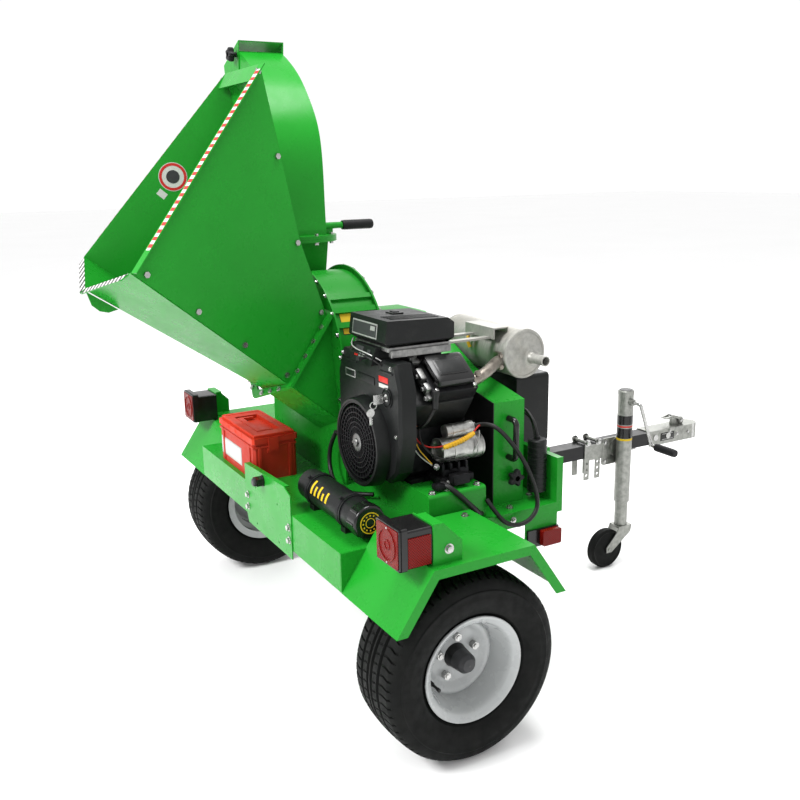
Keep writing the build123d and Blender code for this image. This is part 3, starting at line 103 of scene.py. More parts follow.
# ---------------- materials
class Shader:
    """A node material that is built step by step."""

    def __init__(self, name):
        self.material = bpy.data.materials.new(name)
        self.material.use_nodes = True
        self.tree = self.material.node_tree
        self.surface = self.tree.nodes["Principled BSDF"]
        self.coords = self.tree.nodes.new("ShaderNodeTexCoord").outputs["Object"]

    def add(self, kind, **values):
        node = self.tree.nodes.new(kind)
        for key, value in values.items():
            if hasattr(node, key):
                setattr(node, key, value)
            else:
                node.inputs[key.replace("_", " ")].default_value = value
        return node

    def join(self, output, target):
        self.tree.links.new(output, target)

    def noise(self, scale, detail=4.0, rough=0.55, stretch=None):
        node = self.add("ShaderNodeTexNoise", Scale=scale, Detail=detail, Roughness=rough)
        source = self.coords
        if stretch:
            mapping = self.add("ShaderNodeMapping")
            mapping.inputs["Scale"].default_value = stretch
            self.join(source, mapping.inputs["Vector"])
            source = mapping.outputs["Vector"]
        self.join(source, node.inputs["Vector"])
        return node.outputs["Fac"]

    def ramp(self, value, low, high, first=0.0, last=1.0):
        node = self.add("ShaderNodeMapRange", From_Min=low, From_Max=high, To_Min=first, To_Max=last)
        self.join(value, node.inputs["Value"])
        return node.outputs["Result"]

    def mix(self, factor, first, second):
        node = self.add("ShaderNodeMix", data_type="RGBA")
        self.join(factor, node.inputs[0])
        for value, target in ((first, node.inputs[6]), (second, node.inputs[7])):
            if isinstance(value, tuple):
                target.default_value = (*value, 1.0)
            else:
                self.join(value, target)
        return node.outputs[2]

    def maths(self, operation, first, second=None):
        node = self.add("ShaderNodeMath", operation=operation)
        for i, value in enumerate((first, second)):
            if isinstance(value, (int, float)):
                node.inputs[i].default_value = value
            elif value is not None:
                self.join(value, node.inputs[i])
        return node.outputs[0]

    def bump(self, height, strength, distance=0.001):
        node = self.add("ShaderNodeBump", Strength=strength, Distance=distance)
        self.join(height, node.inputs["Height"])
        if self.surface.inputs["Normal"].links:
            self.join(self.surface.inputs["Normal"].links[0].from_socket, node.inputs["Normal"])
        self.join(node.outputs["Normal"], self.surface.inputs["Normal"])

    def set(self, **values):
        for key, value in values.items():
            target = self.surface.inputs[key.replace("_", " ")]
            if isinstance(value, tuple):
                target.default_value = (*value, 1.0) if len(value) == 3 else value
            elif isinstance(value, (int, float)):
                target.default_value = value
            else:
                self.join(value, target)
        return self

    def split(self):
        node = self.add("ShaderNodeSeparateXYZ")
        self.join(self.coords, node.inputs[0])
        return node.outputs


def coated(name, base, shade, rough, coat=0.0, grain=900.0, depth=0.05, dust=0.05, metal=0.0, gloss=0.35):
    """Painted or moulded surface: slow colour drift, fine orange peel, patches of dust."""
    shader = Shader(name)
    drift = shader.ramp(shader.noise(2.3), 0.3, 0.7)
    colour = shader.mix(drift, shade, base)
    dusty = shader.ramp(shader.noise(7.0, 8.0, 0.7), 0.55, 0.85, 0.0, dust)
    colour = shader.mix(dusty, colour, (0.33, 0.32, 0.28))
    shine = shader.ramp(shader.noise(16.0, 6.0, 0.65), 0.25, 0.8, rough * 0.75, rough * 1.5)
    shader.set(Base_Color=colour, Roughness=shine, Metallic=metal, Coat_Weight=coat, Coat_Roughness=0.12,
            Specular_IOR_Level=gloss)
    shader.bump(shader.noise(grain, 2.0), depth)
    return shader.material


def metal_finish(name, base, shade, rough, stretch=None, grain=500.0, depth=0.06, spots=0.3):
    """Bare or plated metal with streaks and dull spots."""
    shader = Shader(name)
    streaks = shader.noise(60.0, 6.0, 0.6, stretch or (1.0, 1.0, 1.0))
    colour = shader.mix(shader.ramp(streaks, 0.35, 0.65), shade, base)
    dull = shader.ramp(shader.noise(26.0, 8.0, 0.75), 0.5, 0.8, 0.0, spots)
    colour = shader.mix(dull, colour, tuple(0.45 * part for part in shade))
    shine = shader.ramp(streaks, 0.3, 0.7, rough * 0.8, rough * 1.3)
    shader.set(Base_Color=colour, Roughness=shine, Metallic=0.95)
    shader.bump(shader.noise(grain, 3.0), depth)
    return shader.material


def stripes(name, first, second, period, slant=(1.0, 0.0, 1.0)):
    """Slanted hazard stripes along the direction slant, with a slightly worn face."""
    shader = Shader(name)
    dot = shader.add("ShaderNodeVectorMath", operation="DOT_PRODUCT")
    shader.join(shader.coords, dot.inputs[0])
    dot.inputs[1].default_value = slant
    wave = shader.maths("FRACT", shader.maths("DIVIDE", dot.outputs["Value"], period))
    edge = shader.ramp(wave, 0.48, 0.52)
    colour = shader.mix(edge, first, second)
    worn = shader.ramp(shader.noise(60.0, 8.0, 0.7), 0.6, 0.8, 0.0, 0.15)
    colour = shader.mix(worn, colour, (0.4, 0.39, 0.36))
    shader.set(Base_Color=colour, Roughness=0.42)
    shader.bump(shader.noise(500.0), 0.04)
    return shader.material


def lens_material():
    """Red lens with moulded square prisms."""
    shader = Shader("red_lens")
    x, y, z = shader.split()
    prisms = 900.0
    rows = shader.maths("SINE", shader.maths("MULTIPLY", z, prisms))
    columns = shader.maths("SINE", shader.maths("MULTIPLY", shader.maths("ADD", x, y), prisms))
    cells = shader.maths("MULTIPLY", rows, columns)
    deep = shader.ramp(cells, -0.6, 0.6)
    shader.set(Base_Color=shader.mix(deep, (0.05, 0.0015, 0.001), (0.2, 0.005, 0.003)), Roughness=0.24,
            Specular_IOR_Level=0.12, Emission_Strength=0.02, Emission_Color=(0.6, 0.02, 0.01))
    shader.bump(cells, 0.35, 0.0012)
    shader.bump(shader.noise(300.0), 0.03)
    return shader.material


def tyre_material():
    """Dusty black rubber."""
    shader = Shader("tyre_rubber")
    dusty = shader.ramp(shader.noise(18.0, 8.0, 0.7), 0.45, 0.8, 0.0, 0.35)
    colour = shader.mix(dusty, (0.004, 0.0045, 0.0042), (0.013, 0.0125, 0.011))
    shader.set(Base_Color=colour, Roughness=shader.ramp(shader.noise(40.0), 0.3, 0.7, 0.5, 0.75),
            Specular_IOR_Level=0.1)
    shader.bump(shader.noise(700.0, 4.0), 0.12)
    return shader.material


def muffler_material():
    """Rolled steel with rings of brushing and straw-coloured heat tint."""
    shader = Shader("muffler_steel")
    x, y, z = shader.split()
    brushed = shader.noise(40.0, 6.0, 0.6, (9.0, 1.0, 1.0))
    colour = shader.mix(shader.ramp(brushed, 0.3, 0.7), (0.24, 0.24, 0.225), (0.4, 0.395, 0.365))
    heat = shader.ramp(shader.noise(8.0, 4.0), 0.45, 0.75, 0.0, 0.4)
    colour = shader.mix(heat, colour, (0.3, 0.26, 0.19))
    shader.set(Base_Color=colour, Roughness=shader.ramp(brushed, 0.3, 0.7, 0.4, 0.55), Metallic=0.5)
    shader.bump(brushed, 0.05)
    return shader.material


GREEN = coated("green_powder_coat", (0.011, 0.245, 0.018), (0.008, 0.195, 0.013), 0.27, coat=0.04,
        grain=420.0, depth=0.03, dust=0.01, gloss=0.15)
BLACK_PAINT = coated("black_paint", (0.008, 0.008, 0.009), (0.005, 0.005, 0.005), 0.34, gloss=0.25)
BLACK_PLASTIC = coated("black_plastic", (0.008, 0.009, 0.009), (0.005, 0.0055, 0.0055), 0.36, grain=1400.0,
        depth=0.14, gloss=0.2)
GRAINED = coated("grained_black_plastic", (0.009, 0.009, 0.010), (0.005, 0.005, 0.006), 0.5, grain=700.0,
        depth=0.4, gloss=0.22)
GLOSS_BLACK = coated("gloss_black_plastic", (0.006, 0.006, 0.006), (0.004, 0.004, 0.004), 0.2, gloss=0.36,
        dust=0.03)
WHITE_ENAMEL = coated("white_enamel", (0.4, 0.415, 0.415), (0.31, 0.32, 0.32), 0.24, coat=0.25, dust=0.2)
ORANGE = coated("orange_plastic", (0.5, 0.032, 0.01), (0.41, 0.023, 0.007), 0.5, grain=800.0, depth=0.12,
        gloss=0.15)
# Darker copy of the orange plastic, painted shade: used on the tool box body and its ribs, and on the right
# end of the lid.
SHADED_ORANGE = coated("orange_plastic_painted_shade", (0.38, 0.021, 0.007), (0.31, 0.015, 0.005), 0.5, grain=800.0,
        depth=0.12, gloss=0.25)
CABLE_RUBBER = coated("cable_rubber", (0.007, 0.007, 0.007), (0.004, 0.004, 0.004), 0.42, grain=600.0,
        depth=0.1, gloss=0.3)
STEEL = metal_finish("bright_steel", (0.5, 0.5, 0.49), (0.34, 0.34, 0.33), 0.24)
ZINC = metal_finish("zinc_plate", (0.33, 0.335, 0.31), (0.21, 0.215, 0.2), 0.4, grain=300.0, depth=0.14,
        spots=0.5)
ALLOY = metal_finish("cast_alloy", (0.3, 0.3, 0.29), (0.17, 0.17, 0.17), 0.42, grain=350.0, depth=0.3,
        spots=0.6)
DARK_ALLOY = metal_finish("dark_cast_alloy", (0.022, 0.022, 0.024), (0.011, 0.011, 0.012), 0.5,
        grain=260.0, depth=0.3)
HOT_STEEL = metal_finish("heated_steel", (0.32, 0.29, 0.25), (0.19, 0.165, 0.14), 0.4, grain=300.0,
        depth=0.2, spots=0.6)
MUFFLER_STEEL = muffler_material()
TYRE = tyre_material()
LENS = lens_material()
RED_WHITE = stripes("red_white_tape", (0.5, 0.5, 0.48), (0.42, 0.014, 0.01), 0.0235, (-0.22, 0.62, 0.76))
BLACK_WHITE = stripes("black_white_tape", (0.5, 0.5, 0.48), (0.006, 0.006, 0.006), 0.03, (1.0, 0.35, 0.9))
YELLOW = coated("yellow_label", (0.6, 0.42, 0.014), (0.52, 0.35, 0.01), 0.45, dust=0.1, gloss=0.2)
WHITE_LABEL = coated("white_label", (0.5, 0.5, 0.48), (0.42, 0.42, 0.4), 0.45, dust=0.15, gloss=0.2)
BRIGHT_ALLOY = metal_finish("bright_cast_alloy", (0.5, 0.5, 0.48), (0.3, 0.3, 0.29), 0.36, grain=350.0,
        depth=0.25, spots=0.6)
RED_LABEL = coated("red_label", (0.48, 0.012, 0.009), (0.38, 0.009, 0.006), 0.4)
SILVER_LABEL = coated("silver_label", (0.42, 0.42, 0.41), (0.34, 0.34, 0.33), 0.35, metal=0.5)
GREY_PLASTIC = coated("grey_plastic", (0.035, 0.036, 0.038), (0.022, 0.022, 0.023), 0.4, gloss=0.25)
YELLOW_SLEEVE = coated("yellow_sleeve", (0.66, 0.4, 0.01), (0.55, 0.3, 0.01), 0.45)
RED_WIRE = coated("red_wire", (0.5, 0.012, 0.009), (0.38, 0.008, 0.006), 0.4)


# ---------------- mesh helpers
def stand(name, data, body):
    """Puts a new object into the scene and makes it ride on a body."""
    piece = bpy.data.objects.new(name, data)
    bpy.context.scene.collection.objects.link(piece)
    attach(piece, body)
    return piece


def to_mesh(name, bm):
    """Turns finished geometry into a mesh, with its faces looking outwards."""
    bmesh.ops.recalc_face_normals(bm, faces=bm.faces)
    mesh = bpy.data.meshes.new(name)
    bm.to_mesh(mesh)
    bm.free()
    return mesh


def link(name, bm, materials, body="root", smooth=35.0):
    """Makes a piece of finished geometry, with one material or a list of them."""
    mesh = to_mesh(name, bm)
    for material in materials if isinstance(materials, list) else [materials]:
        mesh.materials.append(material)
    mesh.polygons.foreach_set("use_smooth", [True] * len(mesh.polygons))
    mesh.set_sharp_from_angle(angle=math.radians(smooth))
    return stand(name, mesh, body)


def axes_of(direction):
    """A direction at unit length, and two directions square to it and to each other."""
    along = Vector(direction).normalized()
    side = Vector((0, 0, 1)) if abs(along.z) < 0.9 else Vector((1, 0, 0))
    first = side.cross(along).normalized()
    return along, first, along.cross(first)


def spokes_of(direction, count):
    """Unit vectors all round a direction, square to it."""
    along, first, second = axes_of(direction)
    turns = [2 * math.pi * i / count for i in range(count)]
    return [first * math.cos(turn) + second * math.sin(turn) for turn in turns]


def join_loops(bm, loops, material=0, closed=False):
    """Faces between neighbouring loops of points; the ends are capped, or joined where closed is true."""
    count = len(loops[0])
    for near, far in zip(loops, loops[1:] + loops[:int(closed)]):
        for i in range(count):
            j = (i + 1) % count
            bm.faces.new((near[i], near[j], far[j], far[i])).material_index = material
    if not closed:
        bm.faces.new(loops[0]).material_index = material
        bm.faces.new(list(reversed(loops[-1]))).material_index = material


def add_lathe(bm, origin, direction, outline, count=48, material=0, closed=False):
    """Solid of revolution from (along, radius) points in millimetres."""
    along = Vector(direction).normalized()
    spokes = spokes_of(direction, count)
    loops = [[bm.verts.new(origin + (along * a + spoke * r) * MM) for spoke in spokes] for a, r in outline]
    join_loops(bm, loops, material, closed)


def add_ring(bm, centre, direction, outline, count=64, material=0):
    """Ring swept from a closed loop of (along, radius) points in millimetres."""
    add_lathe(bm, centre, direction, outline, count, material, closed=True)


def add_part(bm, part, material, bevel):
    """Moves the geometry of part into bm, with its edges rounded by bevel millimetres."""
    if bevel:
        bmesh.ops.bevel(part, geom=part.edges, offset=bevel * MM, segments=2, profile=0.6, affect="EDGES")
    copies = {vert: bm.verts.new(vert.co) for vert in part.verts}
    for face in part.faces:
        bm.faces.new([copies[vert] for vert in face.verts]).material_index = material
    part.free()


def add_box(bm, low, high, material=0, bevel=0.0):
    """Block between two corners."""
    part = bmesh.new()
    size = Matrix.Diagonal((*(high - low), 1))
    bmesh.ops.create_cube(part, size=1.0, matrix=Matrix.Translation((low + high) / 2) @ size)
    add_part(bm, part, material, bevel)


def add_blocks(bm, blocks):
    """Blocks in axle millimetres: low corner, high corner, material and bevel of each."""
    for low, high, material, bevel in blocks:
        add_box(bm, at(*low), at(*high), material, bevel)


def add_prism(bm, outline, thickness, material=0, bevel=0.0):
    """Plate with the given corner points, thickened by a vector."""
    part = bmesh.new()
    near = [part.verts.new(point) for point in outline]
    far = [part.verts.new(point + thickness) for point in outline]
    part.faces.new(near)
    part.faces.new(list(reversed(far)))
    for i in range(len(outline)):
        j = (i + 1) % len(outline)
        part.faces.new((near[i], far[i], far[j], near[j]))
    add_part(bm, part, material, bevel)


def add_sheet(bm, outline, out, lift, thickness, material=0, bevel=0.0):
    """Thin sheet that starts lift millimetres off a face, along the face's outward direction."""
    add_prism(bm, [point + out * lift * MM for point in outline], out * thickness * MM, material, bevel)


def add_hex(bm, base, direction, radius, height, washer=1.5, material=0):
    """Hexagon head with rounded corners, standing on a washer."""
    disc = [(0, radius * 1.35), (washer, radius * 1.35), (washer, radius * 0.6)]
    add_lathe(bm, base, direction, disc, 28, material)
    along, first, second = axes_of(direction)
    turns = [math.radians(60 * i + 13) for i in range(6)]
    spokes = [first * math.cos(turn) + second * math.sin(turn) for turn in turns]
    outline = [base + (along * washer + spoke * radius) * MM for spoke in spokes]
    add_prism(bm, outline, along * height * MM, material, bevel=radius * 0.1)


def add_bolts(bm, direction, radius, height, places):
    """Equal bolts at places in axle millimetres."""
    for place in places:
        add_hex(bm, at(*place), direction, radius, height)


def tube(name, radius, material, points):
    """Round tube along one smooth curve through given control points."""
    curve = bpy.data.curves.new(name, "CURVE")
    curve.dimensions = "3D"
    curve.bevel_depth = radius * MM
    curve.bevel_resolution = 5
    curve.resolution_u = 10
    curve.use_fill_caps = True
    spline = curve.splines.new("NURBS")
    spline.points.add(len(points) - 1)
    for place, point in zip(spline.points, points):
        place.co = (*at(*point), 1.0)
    spline.order_u = 3
    spline.use_endpoint_u = True
    curve.materials.append(material)
    return stand(name, curve, "root")


# ---------------- cords
CABLE_ROUTE = [
    (462, 222.3, 791), (466, 246, 795), (484, 262, 799), (508, 276, 794), (534, 296, 768), (560, 326, 716),
    (582, 354, 646), (594, 370, 567), (596, 343, 530), (592, 300, 516), (585, 257, 530), (575, 230, 567),
    (547, 219.5, 598),
]
HOSE_ROUTE = [
    (92, -28, 726), (62, -30, 690), (48, -34, 645), (62, -40, 600), (110, -50, 572), (170, -54, 562),
    (225, -30, 562), (262, 8, 566),
]
battery_cable = tube("battery_cable_run", 6.5, CABLE_RUBBER, CABLE_ROUTE)
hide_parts("battery_cable")
fuel_hose = tube("fuel_hose_run", 7.0, CABLE_RUBBER, HOSE_ROUTE)
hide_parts("fuel_hose")


# ---------------- finish of the CAD nodes
def mark_sharp(mesh, angle):
    """Marks the edges where faces meet at more than angle degrees, also where their corners are split."""
    spots = [tuple(round(part, 5) for part in vert.co) for vert in mesh.vertices]
    meeting = {}
    for face in mesh.polygons:
        for pair in face.edge_keys:
            meeting.setdefault(frozenset(spots[i] for i in pair), []).append(face.normal)
    limit = math.cos(math.radians(angle))
    for edge in mesh.edges:
        normals = meeting.get(frozenset(spots[i] for i in edge.vertices), ())
        edge.use_edge_sharp = any(normals[0].dot(other) < limit for other in normals[1:])


def finish_node(name, materials, choose=None, smooth=32.0):
    """Gives a CAD node its materials; choose picks one from a face's centre in millimetres."""
    piece = nodes[name]
    mesh = piece.data
    mesh.materials.clear()
    for material in materials:
        mesh.materials.append(material)
    if choose:
        for face in mesh.polygons:
            x, y, z = face.center
            face.material_index = choose(x / MM, (y - AXLE_Y) / MM, z / MM)
    else:
        mesh.polygons.foreach_set("material_index", [0] * len(mesh.polygons))
    mesh.polygons.foreach_set("use_smooth", [True] * len(mesh.polygons))
    mark_sharp(mesh, smooth)
    weld = piece.modifiers.new("weld", "WELD")
    weld.merge_threshold = 0.00002


def bracket_finish(x, y, z):
    """Black lamp above, steel screws below, both behind the green plate."""
    if y >= -257:
        return 0
    return 2 if 21 < x < 55 and z > 581 else int(z < 530)


PLAIN = [
    (GREEN, "deck_pan fender_left fender_right hopper_side_left hopper_side_right hopper_floor hopper_back"),
    (GREEN, "throat_duct housing_plates housing_skin deflector engine_pedestal"),
    (BLACK_PAINT, "guard_backplate chassis_frame axle_beam"),
    (BLACK_PLASTIC, "air_cleaner_cover fuel_tank canister_tube blower_housing"),
    (GLOSS_BLACK, "canister_cap"),
    (GRAINED, "fuel_cap throttle_lever"),
    (CABLE_RUBBER, "drive_belt"),
    (STEEL, "rotor_shaft rotor_disc crankshaft ignition_key jack_pin"),
    (ZINC, "jack_mount jack_inner_tube jack_yoke coupler_lever"),
    (LENS, "lamp_lenses"),
    (TYRE, "jack_wheel"),
    (ORANGE, "toolbox_handle"),
    # Tool box body in the darker copy of the orange plastic, painted shade.
    (SHADED_ORANGE, "toolbox_body"),
]
for node_material, node_names in PLAIN:
    for node_name in node_names.split():
        finish_node(node_name, [node_material])

finish_node("guard_cover", [GREEN, GLOSS_BLACK], lambda x, y, z: int(x > 490.6))
finish_node("chute", [GREEN, GRAINED], lambda x, y, z: int(y > 225.5 and z < 1350))
finish_node("hopper_bolts", [STEEL, GREEN], lambda x, y, z: int(abs(x + 90) < 4 and y < -400))
finish_node("plate_bracket", [GREEN, STEEL, GLOSS_BLACK], bracket_finish)
finish_node("bearings", [GREEN, DARK_ALLOY], lambda x, y, z: int(z > 860.5))
finish_node("lamp_housings", [GLOSS_BLACK, GREEN], lambda x, y, z: int(-136.5 < y < 0 and abs(x) > 700))
finish_node("jack_outer_tube", [ZINC, GLOSS_BLACK], lambda x, y, z: int(z > 681.5))
finish_node("jack_crank", [STEEL, GRAINED], lambda x, y, z: int(x > 170.2))
finish_node("coupler_body", [ZINC, STEEL], lambda x, y, z: int(abs(x) > 37))
# The lid's right end gets the darker copy of the orange plastic: painted shade on the side turned from the
# light.
finish_node("toolbox_lid", [ORANGE, SHADED_ORANGE], lambda x, y, z: int(x > -78.5))


def hub_finish(x, y, z):
    """Steel studs and nuts round the rim, a grey grease cap in the middle."""
    reach = math.hypot(y, z - WHEEL_Z)
    if reach > 44 and abs(x) > WHEEL_X - 6:
        return 1
    return 2 if reach < 31 and abs(x) > WHEEL_X + 21.5 else 0


for side_name, outward in SIDES:
    finish_node("hub_" + side_name, [BLACK_PAINT, STEEL, GREY_PLASTIC], hub_finish)


def engine_finish(x, y, z):
    """Bright starter and solenoid, black valve covers, dark cylinders and crankcase."""
    if math.hypot(x - STARTER_X, z - STARTER_Z) < 38 and y > 115:
        return 1
    if math.hypot(x - SOLENOID_X, z - SOLENOID_Z) < 21:
        return 1
    reach = abs(x - ENGINE_X) * math.sin(LEAN) + (z - CRANK_Z) * math.cos(LEAN)
    return 2 if reach > 248.5 else 0


finish_node("engine_block", [DARK_ALLOY, BRIGHT_ALLOY, GLOSS_BLACK], engine_finish)


def muffler_finish(x, y, z):
    """Heated steel on the manifold pipes, behind the drum."""
    return int(math.hypot(y - MUFFLER_Y, z - MUFFLER_Z) > 77 and z < 1000 and y < 420)


finish_node("muffler", [MUFFLER_STEEL, HOT_STEEL], muffler_finish)


# ---------------- tyres
PITCHES = 64
PITCH_STEPS = [(0.0, False), (0.18, False), (0.22, True), (0.4, True), (0.44, False), (0.72, False)]
CROWN = [-80, -76, -60, -47, -44, -38, -35, -24, -15, -12, -6, -3, 3, 6, 12, 15, 24, 35, 38, 44, 47, 60,
        76, 80]
GROOVES = [(-45, -37), (-13, -5), (5, 13), (37, 45)]
SIDEWALL = [(75, 127.2), (76, 146), (82, 152), (88, 156), (90, 160), (93, 164), (99, 178), (103.5, 196),
        (104, 203), (102.5, 214), (103.6, 217), (103.2, 221), (100.5, 224), (98, 236), (91, 247)]


def tread_depth(a, cut):
    """How deep the crown is cut at a place across it: ribs, and blocks where cut is true."""
    if any(low < a < high for low, high in GROOVES):
        return 7.0
    if cut and abs(a) > 47:
        return 6.5
    return 4.0 if cut and 15 < abs(a) < 35 else 0.0


def make_tyre(side_name, wheel_x):
    """Tyre with ribs, zigzag grooves and cut shoulders worked into its crown."""
    profile = [(-a, r, False) for a, r in SIDEWALL]
    for a in CROWN:
        profile.append((a, WHEEL_Z - 0.00078 * a * a - (0.6 if abs(a) > 74 else 0.0), True))
    profile += [(a, r, False) for a, r in reversed(SIDEWALL)]
    bm = bmesh.new()
    rows = []
    for pitch in range(PITCHES):
        for fraction, cut in PITCH_STEPS:
            row = []
            for a, radius, on_crown in profile:
                zigzag = 0.18 * math.sin(a / 12.0) if on_crown else 0.0
                turn = 2 * math.pi * (pitch + fraction + zigzag) / PITCHES
                reach = radius - (tread_depth(a, cut) if on_crown else 0.0)
                place = at(wheel_x + a, reach * math.cos(turn), WHEEL_Z + reach * math.sin(turn))
                row.append(bm.verts.new(place))
            rows.append(row)
    join_loops(bm, rows, closed=True)
    piece = link("tyre_tread_" + side_name, bm, TYRE, "wheel_" + side_name, smooth=28)
    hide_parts("tyre_" + side_name)


def make_rim(side_name, outward):
    """Painted wheel with a rolled lip, a smooth dished barrel and a raised ring on its centre disc."""
    bm = bmesh.new()
    centre = at(outward * WHEEL_X, 0, WHEEL_Z)
    dish = [(84, 146.5), (88, 146.8), (90, 145), (89, 141.5), (85, 136), (80, 129), (76, 124.5), (62, 120),
            (44, 114), (26, 109.5), (8, 106), (-39, 106), (-51, 122), (-82, 122), (-84, 134), (-88, 146.5)]
    seats = [(-84, 146.5), (-77, 131), (-77, 126.9), (-48, 126.9), (-36, 112), (20, 112), (46, 126.9),
            (77, 126.9), (77, 131)]
    add_ring(bm, centre, (outward, 0, 0), dish + seats, 120)
    disc = [(-9, 34), (-4, 34), (-4, 72), (-1, 80), (6, 88), (11, 96), (11, 102), (7, 107), (2, 107),
            (5, 99), (0, 88), (-9, 78)]
    add_ring(bm, centre, (outward, 0, 0), disc, 120)
    piece = link("wheel_disc_" + side_name, bm, WHITE_ENAMEL, "wheel_" + side_name,
            smooth=40)
    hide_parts("rim_" + side_name)


def make_valve(side_name, outward):
    """Rubber tyre valve that stands in the dish of the wheel."""
    bm = bmesh.new()
    reach, turn = 104, math.radians(200)
    place = at(outward * (WHEEL_X + 34), reach * math.cos(turn), WHEEL_Z + reach * math.sin(turn))
    add_lathe(bm, place, (outward, 0, 0), [(-6, 6), (6, 6), (8, 4), (30, 4), (30, 5), (40, 5), (41, 3)], 20)
    link("valve_stem_" + side_name, bm, CABLE_RUBBER, "wheel_" + side_name)


for side_name, outward in SIDES:
    make_tyre(side_name, outward * WHEEL_X)
    make_valve(side_name, outward)
    make_rim(side_name, outward)


def make_fan_screen():
    """Debris screen of concentric rings and radial ribs over a dark flywheel, with a slotted silver hub."""
    centre = at(ENGINE_X, -60, CRANK_Z)
    bm = bmesh.new()
    add_lathe(bm, centre, FRONT, [(4, 106), (8, 106), (8, 44), (46, 44), (46, 30), (60, 30), (60, 10)], 72)
    for inner in (26, 44, 58, 72, 86, 101):
        add_ring(bm, centre, FRONT, [(-2.5, inner), (-2.5, inner + 3), (4, inner + 3), (4, inner)], 96, 1)
    along = Vector((0, 1, 0))
    for spoke in spokes_of(along, 36):
        start, end = centre + spoke * 27 * MM, centre + spoke * 108 * MM
        wide = along.cross(spoke) * 0.9 * MM
        outline = [start - wide, end - wide, end + wide, start + wide]
        add_sheet(bm, outline, along, -1.5, 5, 1)
    add_lathe(bm, centre, REAR, [(-3, 26), (2, 26), (4, 22), (4, 12), (7, 12), (9, 10), (9, 4), (6, 4)],
            48, 2)
    add_box(bm, centre + mm(-15.5, -10.5, -3.5), centre + mm(15.5, -5.5, 3.5), 2, 1.0)
    piece = link("fan_screen_grille", bm, [BLACK_PAINT, GRAINED, ALLOY], "engine_crank")
    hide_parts("fan_screen")


make_fan_screen()


# ---------------- hopper dressing
HOPPER_X = -90.0
KNUCKLE_LIP = (290.0, -636.0, 1265.0)
KNUCKLE_THROAT = (150.0, -165.0, 889.0)
APEX = (138.0, -204.0, 1796.0)
KEEL_LIP = (0.0, -697.0, 1200.0)


def corner(point, outward):
    """A corner of the hopper's right side (outward 1) or left side (-1)."""
    half, y, z = point
    return at(HOPPER_X + outward * half, y, z)


def side_normal(outward):
    """Direction that points out of a side plate."""
    a, b, c = [corner(point, outward) for point in (KNUCKLE_LIP, KNUCKLE_THROAT, APEX)]
    normal = (b - a).cross(c - a).normalized()
    return normal if normal.x * outward > 0 else -normal


def make_edge_tape(side_name, outward):
    """Red and white tape along the mouth edge of a side plate."""
    low, high, out = corner(KNUCKLE_LIP, outward), corner(APEX, outward), side_normal(outward)
    rise = high - low
    front = rise.cross(out).normalized()
    if front.y > 0:
        front = -front
    bm = bmesh.new()
    start, end = low + rise * 0.1, low + rise * 0.97
    outline = [start + out * 5 * MM, end + out * 5 * MM, end + out * 22 * MM, start + out * 22 * MM]
    add_sheet(bm, outline, front, 0.1, 0.5)
    link("edge_tape_" + side_name, bm, RED_WHITE)


def make_lip_tape(side_name, outward):
    """Black and white tape along the lower lip, from the keel to a side plate."""
    bm = bmesh.new()
    keel, knuckle = corner(KEEL_LIP, outward), corner(KNUCKLE_LIP, outward)
    drop = mm(outward * 8, -14, -12)
    along = (knuckle - keel).normalized()
    sheet = [keel + along * 3 * MM, knuckle - along * 16 * MM, knuckle - along * 42 * MM + drop,
            keel + along * 3 * MM + drop]
    normal = (sheet[1] - sheet[0]).cross(sheet[3] - sheet[0]).normalized()
    if normal.y > 0:
        normal = -normal
    add_sheet(bm, sheet, normal, 0.2, 0.6)
    link("lip_tape_" + side_name, bm, BLACK_WHITE)


for side_name, outward in SIDES:
    make_edge_tape(side_name, outward)
    make_lip_tape(side_name, outward)


def make_hopper_labels():
    """Plain round badge with a red rim, and a small blank label, inside the far side plate."""
    inward = -side_normal(-1)
    low, high = corner(KNUCKLE_LIP, -1), corner(APEX, -1)
    edge = (high - low).normalized()
    into = inward.cross(edge).normalized()
    if into.y < 0:
        into = -into
    centre = low + edge * 360 * MM + into * 62 * MM
    bm = bmesh.new()
    add_lathe(bm, centre, inward, [(0, 43), (0.5, 43)])
    face = centre + inward * 0.5 * MM
    add_ring(bm, face, inward, [(0, 33), (0.3, 33), (0.3, 41), (0, 41)], 48, 1)
    add_lathe(bm, face, inward, [(0, 20), (0.3, 20)], material=2)
    place = centre - edge * 62 * MM + into * 6 * MM
    corners = ((-10, -14), (-10, 14), (10, 14), (10, -14))
    add_sheet(bm, [place + edge * a * MM + into * b * MM for a, b in corners], inward, 0, 0.4)
    link("hopper_labels", bm, [WHITE_LABEL, RED_LABEL, GREY_PLASTIC])


make_hopper_labels()


def rolled_label(bm, centre, along, first, span, turns, radii, material=0):
    """Thin sheet on a cylinder: span in mm along its axis, turns in degrees from the direction first."""
    along, first, second = Vector(along), Vector(first), Vector((0, 0, 1))
    (start, end), (inner, outer) = span, radii
    loops = []
    for i in range(9):
        turn = math.radians(turns[0] + (turns[1] - turns[0]) * i / 8)
        reach = first * math.cos(turn) + second * math.sin(turn)
        section = ((start, inner), (end, inner), (end, outer), (start, outer))
        loops.append([bm.verts.new(centre + (along * a + reach * radius) * MM) for a, radius in section])
    join_loops(bm, loops, material)


def make_skin_label():
    """Blank yellow label with a dark border, rolled round the housing skin."""
    bm = bmesh.new()
    axis_point = at(ROTOR_X, 0, ROTOR_Z)
    sheets = [
        ((24, 106), (22, 41), (275.1, 275.4), 0),
        ((26, 104), (22.5, 36.5), (275.1, 275.8), 1),
        ((26, 104), (37.3, 40.6), (275.1, 275.8), 1),
    ]
    for span, turns, radii, material in sheets:
        rolled_label(bm, axis_point, FRONT, RIGHT, span, turns, radii, material)
    link("skin_label", bm, [BLACK_PAINT, YELLOW])


# ---------------- engine dressing
SHROUD_REAR = -24.0
KEY_X = 418.0
AIR_TOP = 1112.0


